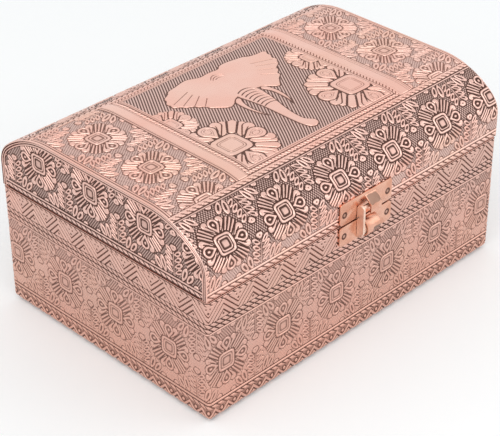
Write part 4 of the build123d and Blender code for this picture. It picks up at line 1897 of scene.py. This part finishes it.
@dataclass
class Lining:
    """Velvet inside the box, and the felt under it."""

    shape: LidShape
    rim_clear: float = 0.8
    wall: float = 4.9
    thick: float = 1.0
    swell: float = 0.22
    lid_swell: float = 0.2
    edge: float = 0.8
    pitch: float = 1.6
    pitch_along: float = 3.0
    flats: tuple[tuple[str, tuple, tuple], ...] = (
        ("floor", (0, 0, 1), (0, 1, 0)),
        ("front", (0, 1, 0), (0, 0, 1)),
        ("rear", (0, -1, 0), (0, 0, 1)),
        ("left", (1, 0, 0), (0, 0, 1)),
        ("right", (-1, 0, 0), (0, 0, 1)),
    )

    @staticmethod
    def declare(
        made: Object, size: Sequence[float], rests: list[str], area: float | None = None
    ) -> None:
        """Takes a piece of cloth and what it is glued to, and does nothing with them.

        Args:
            made: The piece. Not used.
            size: Its flat width and height, in millimetres. Not used.
            rests: What it is glued to. Not used.
            area: Its flat area in square millimetres, where it isn't a rectangle. Not used.
        """

    def compartment(self) -> None:
        """Lines the floor and the four walls of the base."""
        for part, normal, up in self.flats:
            node = f"base_{part}_lining"
            panel = Panel(*box_mm(node), normal, up, self.edge, swell=self.swell)
            piece = Piece("velvet_" + part, node, Body.BASE, Finish.VELVET)
            self.declare(panel.shape().build(piece), panel.size(), [f"base_{part}_board"])

    def lid_top(self) -> None:
        """Lines the inside of the arch and both rails."""
        node, clear, whole = "lid_top_lining", self.rim_clear, self.shape.whole
        reach = box_mm(node)[1][0]
        along = clear + close_set(whole - 2 * clear, 1.5 * self.edge, self.pitch)
        x, s = np.meshgrid(reach - close_set(2 * reach, self.edge, self.pitch_along), along)
        to_rim = np.minimum(s, whole - s) - clear
        border = np.minimum(reach - np.abs(x), to_rim)
        pile = Pile(self.edge, self.lid_swell, (19.0, 15.0, 8.0, 11.0))
        thick = self.thick * pile.thickness(x, s, to_rim, border)
        back = self.shape.bent(x, s, self.wall)
        shape = SheetShape(self.shape.bent(x, s, self.wall + thick), back)
        made = shape.build(Piece("velvet_lid_top", node, Body.LID, Finish.VELVET))
        length = float(np.hypot(*np.diff(back[:, 0, 1:], axis=0).T).sum())
        rests = ["lid_top_board", "lid_front_rail", "lid_rear_rail"]
        self.declare(made, (2 * reach, length), rests)

    def lid_end(self, side: Side) -> None:
        """Lines the inside of one arched end of the lid.

        Args:
            side: The left or the right.
        """
        direction, node = side.value[0], f"lid_{side.key}_lining"
        low, high = box_mm(node)
        x = high[0] if direction > 0 else low[0]
        inset = self.wall + 0.9 * self.thick
        y, z = self.shape.end_grid(inset, self.rim_clear, self.pitch, -direction)
        from_rim = z - self.shape.rim - self.rim_clear
        border = np.minimum(self.shape.distance_to_arch(y, z, inset), from_rim)
        pile = Pile(self.edge, self.lid_swell, (12.0, 9.0, 6.0, 8.0))
        thick = self.thick * pile.thickness(y, z, border, border)
        outer, back = (np.stack([x - direction * out, y, z], -1) for out in (thick, 0.0 * thick))
        piece = Piece(f"velvet_lid_{side.key}", node, Body.LID, Finish.VELVET)
        tall = z[-1] - z[0]
        area = float(np.abs((tall[1:] + tall[:-1]) / 2 @ np.diff(y[0])))
        made = SheetShape(outer, back).build(piece)
        self.declare(made, (high - low)[1:], [f"lid_{side.key}_end_board"], area)

    def underside(self) -> None:
        """Glues felt under the base."""
        node = "underside_felt"
        panel = Panel(*box_mm(node), normal=(0, 0, -1), up=(0, 1, 0), edge=0.4, fine=3.0)
        made = panel.shape().build(Piece("felt_underside", node, Body.BASE, Finish.FELT))
        self.declare(made, panel.size(), ["base_floor_board"])

    def build(self) -> None:
        """Makes every piece of cloth."""
        self.compartment()
        self.lid_top()
        for side in (Side.LEFT, Side.RIGHT):
            self.lid_end(side)
        self.underside()


# Metal fittings


@dataclass(frozen=True)
class Pressed:
    """A stamped metal piece: a copy of its solid with every edge broken."""

    piece: Piece
    edge: float = 0.14
    segments: int = 2
    sharp: float = 32.0
    flat: float = 0.5
    merge: float = 0.002

    def build(self) -> None:
        """Merges the copy's loose triangles and flat faces, and rounds its sharp edges."""
        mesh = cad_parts[self.piece.node].data.copy()
        mesh.name = self.piece.name
        work = bmesh.new()
        work.from_mesh(mesh)
        bmesh.ops.remove_doubles(work, verts=work.verts, dist=self.merge * MM)
        limit = math.radians(self.flat)
        bmesh.ops.dissolve_limit(work, angle_limit=limit, verts=work.verts, edges=work.edges)
        work.to_mesh(mesh)
        work.free()
        mesh.polygons.foreach_set("use_smooth", np.ones(len(mesh.polygons), bool))
        bevel = self.piece.dress(mesh).modifiers.new("broken edges", "BEVEL")
        bevel.width, bevel.segments = self.edge * MM, self.segments
        bevel.limit_method, bevel.angle_limit = "ANGLE", math.radians(self.sharp)
        bevel.harden_normals = True


@dataclass(frozen=True)
class Nails:
    """Short nails along y: a domed head over a taper, a round shank and a point."""

    piece: Piece
    places: list[Point]
    facing: int
    face: float
    head: float = 1.25
    shank: float = 0.75
    length: float = 4.6
    head_depth: float = 0.5
    dome: float = 0.1
    tip: float = 1.2
    sides: int = 28

    def profile(self) -> Grid:
        """A domed top r^2, its taper and the shank.

        Returns:
            Radius and depth below the head's rim, one row each.
        """
        across = np.linspace(0.0, 0.94, 6)[1:]
        top = np.stack([across * self.head, -self.dome * (1.0 - across**2)], -1)
        shank = [(self.shank, self.head_depth), (self.shank, self.length - self.tip)]
        return np.concatenate([top, [(self.head, 0.05)], shank])

    def build(self) -> None:
        """Turns the profile about each nail's axis, with a closing point at both ends."""
        profile, sides = self.profile(), self.sides
        angle = np.arange(sides) * TURN / sides
        radius, depth = profile[:, :1], profile[:, 1:]
        x, z = radius * np.cos(angle), radius * np.sin(angle)
        ring = np.stack([x, np.broadcast_to(depth, x.shape), z], -1).reshape(-1, 3)
        one = np.concatenate([ring, [(0.0, -self.dome, 0.0), (0.0, self.length, 0.0)]])
        index = np.arange(len(ring)).reshape(-1, sides)
        after = np.roll(index, -1, axis=1)
        walls = np.stack([index[:-1], index[1:], after[1:], after[:-1]], -1).reshape(-1, 4)
        first = np.stack([np.full(sides, len(ring)), index[0], after[0]], -1)
        last = np.stack([index[-1], np.full(sides, len(ring) + 1), after[-1]], -1)
        points, faces = [], []
        for number, (at_x, at_z) in enumerate(self.places):
            points.append(one * (1.0, -self.facing, 1.0) + (at_x, self.facing * self.face, at_z))
            for group in (walls, first, last):
                faces += (group + number * len(one))[:, :: -self.facing].tolist()
        self.piece.make(np.concatenate(points), faces, np.ones(len(faces), bool))


@dataclass(frozen=True)
class Fitting:
    """Metal nailed to one wall of the box, above and below the lid's rim."""

    plate: float = 0.8
    recess: float = 0.15

    def nail(self, kind: str, pattern: NailPattern, side: Side) -> None:
        """Makes the nails of the lid's and the base's plates, their heads a little sunk.

        Args:
            kind: What they hold.
            pattern: Where they go.
            side: The wall.
        """
        facing = side.value[1]
        face = np.abs(box_mm(f"lid_{side.key}_sheet"))[:, 1].max() + self.plate - self.recess
        for part, body, up in (("lid", Body.LID, 1), ("base", Body.BASE, -1)):
            piece = Piece(f"nails_{kind}_{part}", f"{kind}_{part}_nails", body, Finish.NAIL)
            Nails(piece, pattern.places(up), facing, face).build()


@dataclass(frozen=True)
class Latch(Fitting):
    """Two plates and a sliding bolt on the front, each plate held by two nails."""

    def build(self) -> None:
        """Makes the plates, the bolt and the nails."""
        Pressed(Piece("latch_plate_upper", "latch_lid_plate", Body.LID, Finish.LATCH)).build()
        Pressed(Piece("latch_plate_lower", "latch_base_plate", Body.BASE, Finish.LATCH)).build()
        bolt = Piece("latch_sliding_bolt", "latch_bolt", Body.BOLT, Finish.BOLT)
        Pressed(bolt, edge=0.4, segments=3).build()
        self.nail("latch", LATCH_NAILS, Side.FRONT)


@dataclass(frozen=True)
class Hinges(Fitting):
    """Two butt hinges on the rear, each with two leaves, a pin and four nails."""

    def build(self) -> None:
        """Makes the leaves, the pins and the nails."""
        parts = (
            ("leaf_upper", "lid_leaf", Body.LID, 0.14),
            ("leaf_lower", "base_leaf", Body.BASE, 0.14),
            ("turning_pin", "pin", Body.BASE, 0.1),
        )
        for side in (Side.LEFT, Side.RIGHT):
            for name, node, body, edge in parts:
                start = f"hinge_{side.key}_"
                Pressed(Piece(start + name, start + node, body, Finish.HINGE), edge).build()
        self.nail("hinge", HINGE_NAILS, Side.REAR)


def dress_boards() -> None:
    """Gives every board and rail its fibreboard."""
    for name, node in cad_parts.items():
        if name.endswith(("_board", "_rail")):
            for held in node.material_slots:
                held.material = Finish.BOARD.material
            log.info("%s: fibreboard", name)


# Studio


@dataclass(frozen=True)
class Studio:
    """Floor, lights and camera of the picture, in metres and degrees."""

    lens: float = 119.57
    sensor: float = 36.0
    clip: tuple[float, float] = (0.01, 20.0)
    camera_place: tuple[float, float, float] = (-0.5002, -0.4963, 0.4888)
    azimuth: float = -45.007
    elevation: float = 32.911
    roll: float = -0.327
    aim: tuple[float, float, float] = (0.0, 0.0, 0.05)
    floor_half: float = 3.0
    floor_paint: Color = color(0.91, 0.93, 0.935)
    floor_glow: Color = color(0.09, 0.09, 0.09)
    soft_light: float = 0.78

    @staticmethod
    def put(name: str, data: bpy.types.ID) -> Object:
        """Adds an object to the scene."""
        made = bpy.data.objects.new(name, data)
        bpy.context.scene.collection.objects.link(made)
        return made

    def camera(self) -> None:
        """Places the camera by its viewing angle."""
        data = bpy.data.cameras.new("camera")
        data.lens, data.sensor_width = self.lens, self.sensor
        data.clip_start, data.clip_end = self.clip
        camera = self.put("camera", data)
        az, el, roll = (math.radians(value) for value in (self.azimuth, self.elevation, self.roll))
        level = math.cos(el)
        back = Vector((math.sin(az) * level, -math.cos(az) * level, math.sin(el)))
        right = Vector((0.0, 0.0, 1.0)).cross(back).normalized()
        up = back.cross(right)
        turned_right = math.cos(roll) * right + math.sin(roll) * up
        turned_up = math.cos(roll) * up - math.sin(roll) * right
        turn = Matrix((turned_right, turned_up, back)).transposed()
        camera.matrix_world = Matrix.Translation(self.camera_place) @ turn.to_4x4()
        bpy.context.scene.camera = camera

    def lamp(self, name: str, place: tuple, size: Point, power: float) -> None:
        """Hangs a soft box that faces the middle of the keepsake box.

        Args:
            name: Its name.
            place: Where it hangs.
            size: Its width and height.
            power: Its power in watts.
        """
        data = bpy.data.lights.new(name, "AREA")
        data.shape, data.size, data.size_y = "RECTANGLE", *size
        data.energy = power
        lamp = self.put(name, data)
        lamp.location = place
        aim = Vector(self.aim) - Vector(place)
        lamp.rotation_euler = aim.to_track_quat("-Z", "Y").to_euler()

    def floor(self) -> None:
        """Lays a pale floor that glows a little and keeps the box's shadow."""
        mesh = bpy.data.meshes.new("floor")
        half, level = self.floor_half, cad_low[2]
        corners = [(x * half, y * half, level) for x, y in ((-1, -1), (1, -1), (1, 1), (-1, 1))]
        mesh.from_pydata(corners, [], [(0, 1, 2, 3)])
        graph = Graph.material("floor white")
        glow = graph.blend(graph.shown(), color(0.0, 0.0, 0.0), self.floor_glow)
        mesh.materials.append(graph.feed(
            Base_Color=self.floor_paint, Roughness=0.9, Emission_Color=glow, Emission_Strength=1.0
        ))
        self.put("floor", mesh)

    def world(self) -> None:
        """Sets a world that is white to the camera and to reflections, softer as a light."""
        world = bpy.data.worlds.new("studio")
        bpy.context.scene.world = world
        graph = Graph(world)
        paper = {"Color": color(1.0, 1.0, 1.0)}
        strengths = (self.soft_light, 1.0)
        soft, white = (graph.add("Background", paper | {"Strength": each}) for each in strengths)
        mix = graph.add("MixShader", {0: graph.shown(), 1: soft, 2: white})
        graph.add("OutputWorld", {0: mix})

    def build(self) -> None:
        """Sets up the whole studio."""
        bpy.context.scene.view_settings.view_transform = "Standard"
        self.camera()
        self.floor()
        self.world()
        self.lamp("key", (-0.7, -0.45, 1.0), (1.2, 1.0), 5.0)
        self.lamp("fill", (0.9, -0.9, 0.6), (1.2, 0.9), 2.5)


def main() -> None:
    """Builds the studio, then the box from its cladding inwards."""
    Studio().build()
    BaseCladding().build_all()
    lid = LidShape()
    LidCladding(lid).build()
    Lining(lid).build()
    Latch().build()
    Hinges().build()
    dress_boards()


if __name__ == "__main__":
    main()
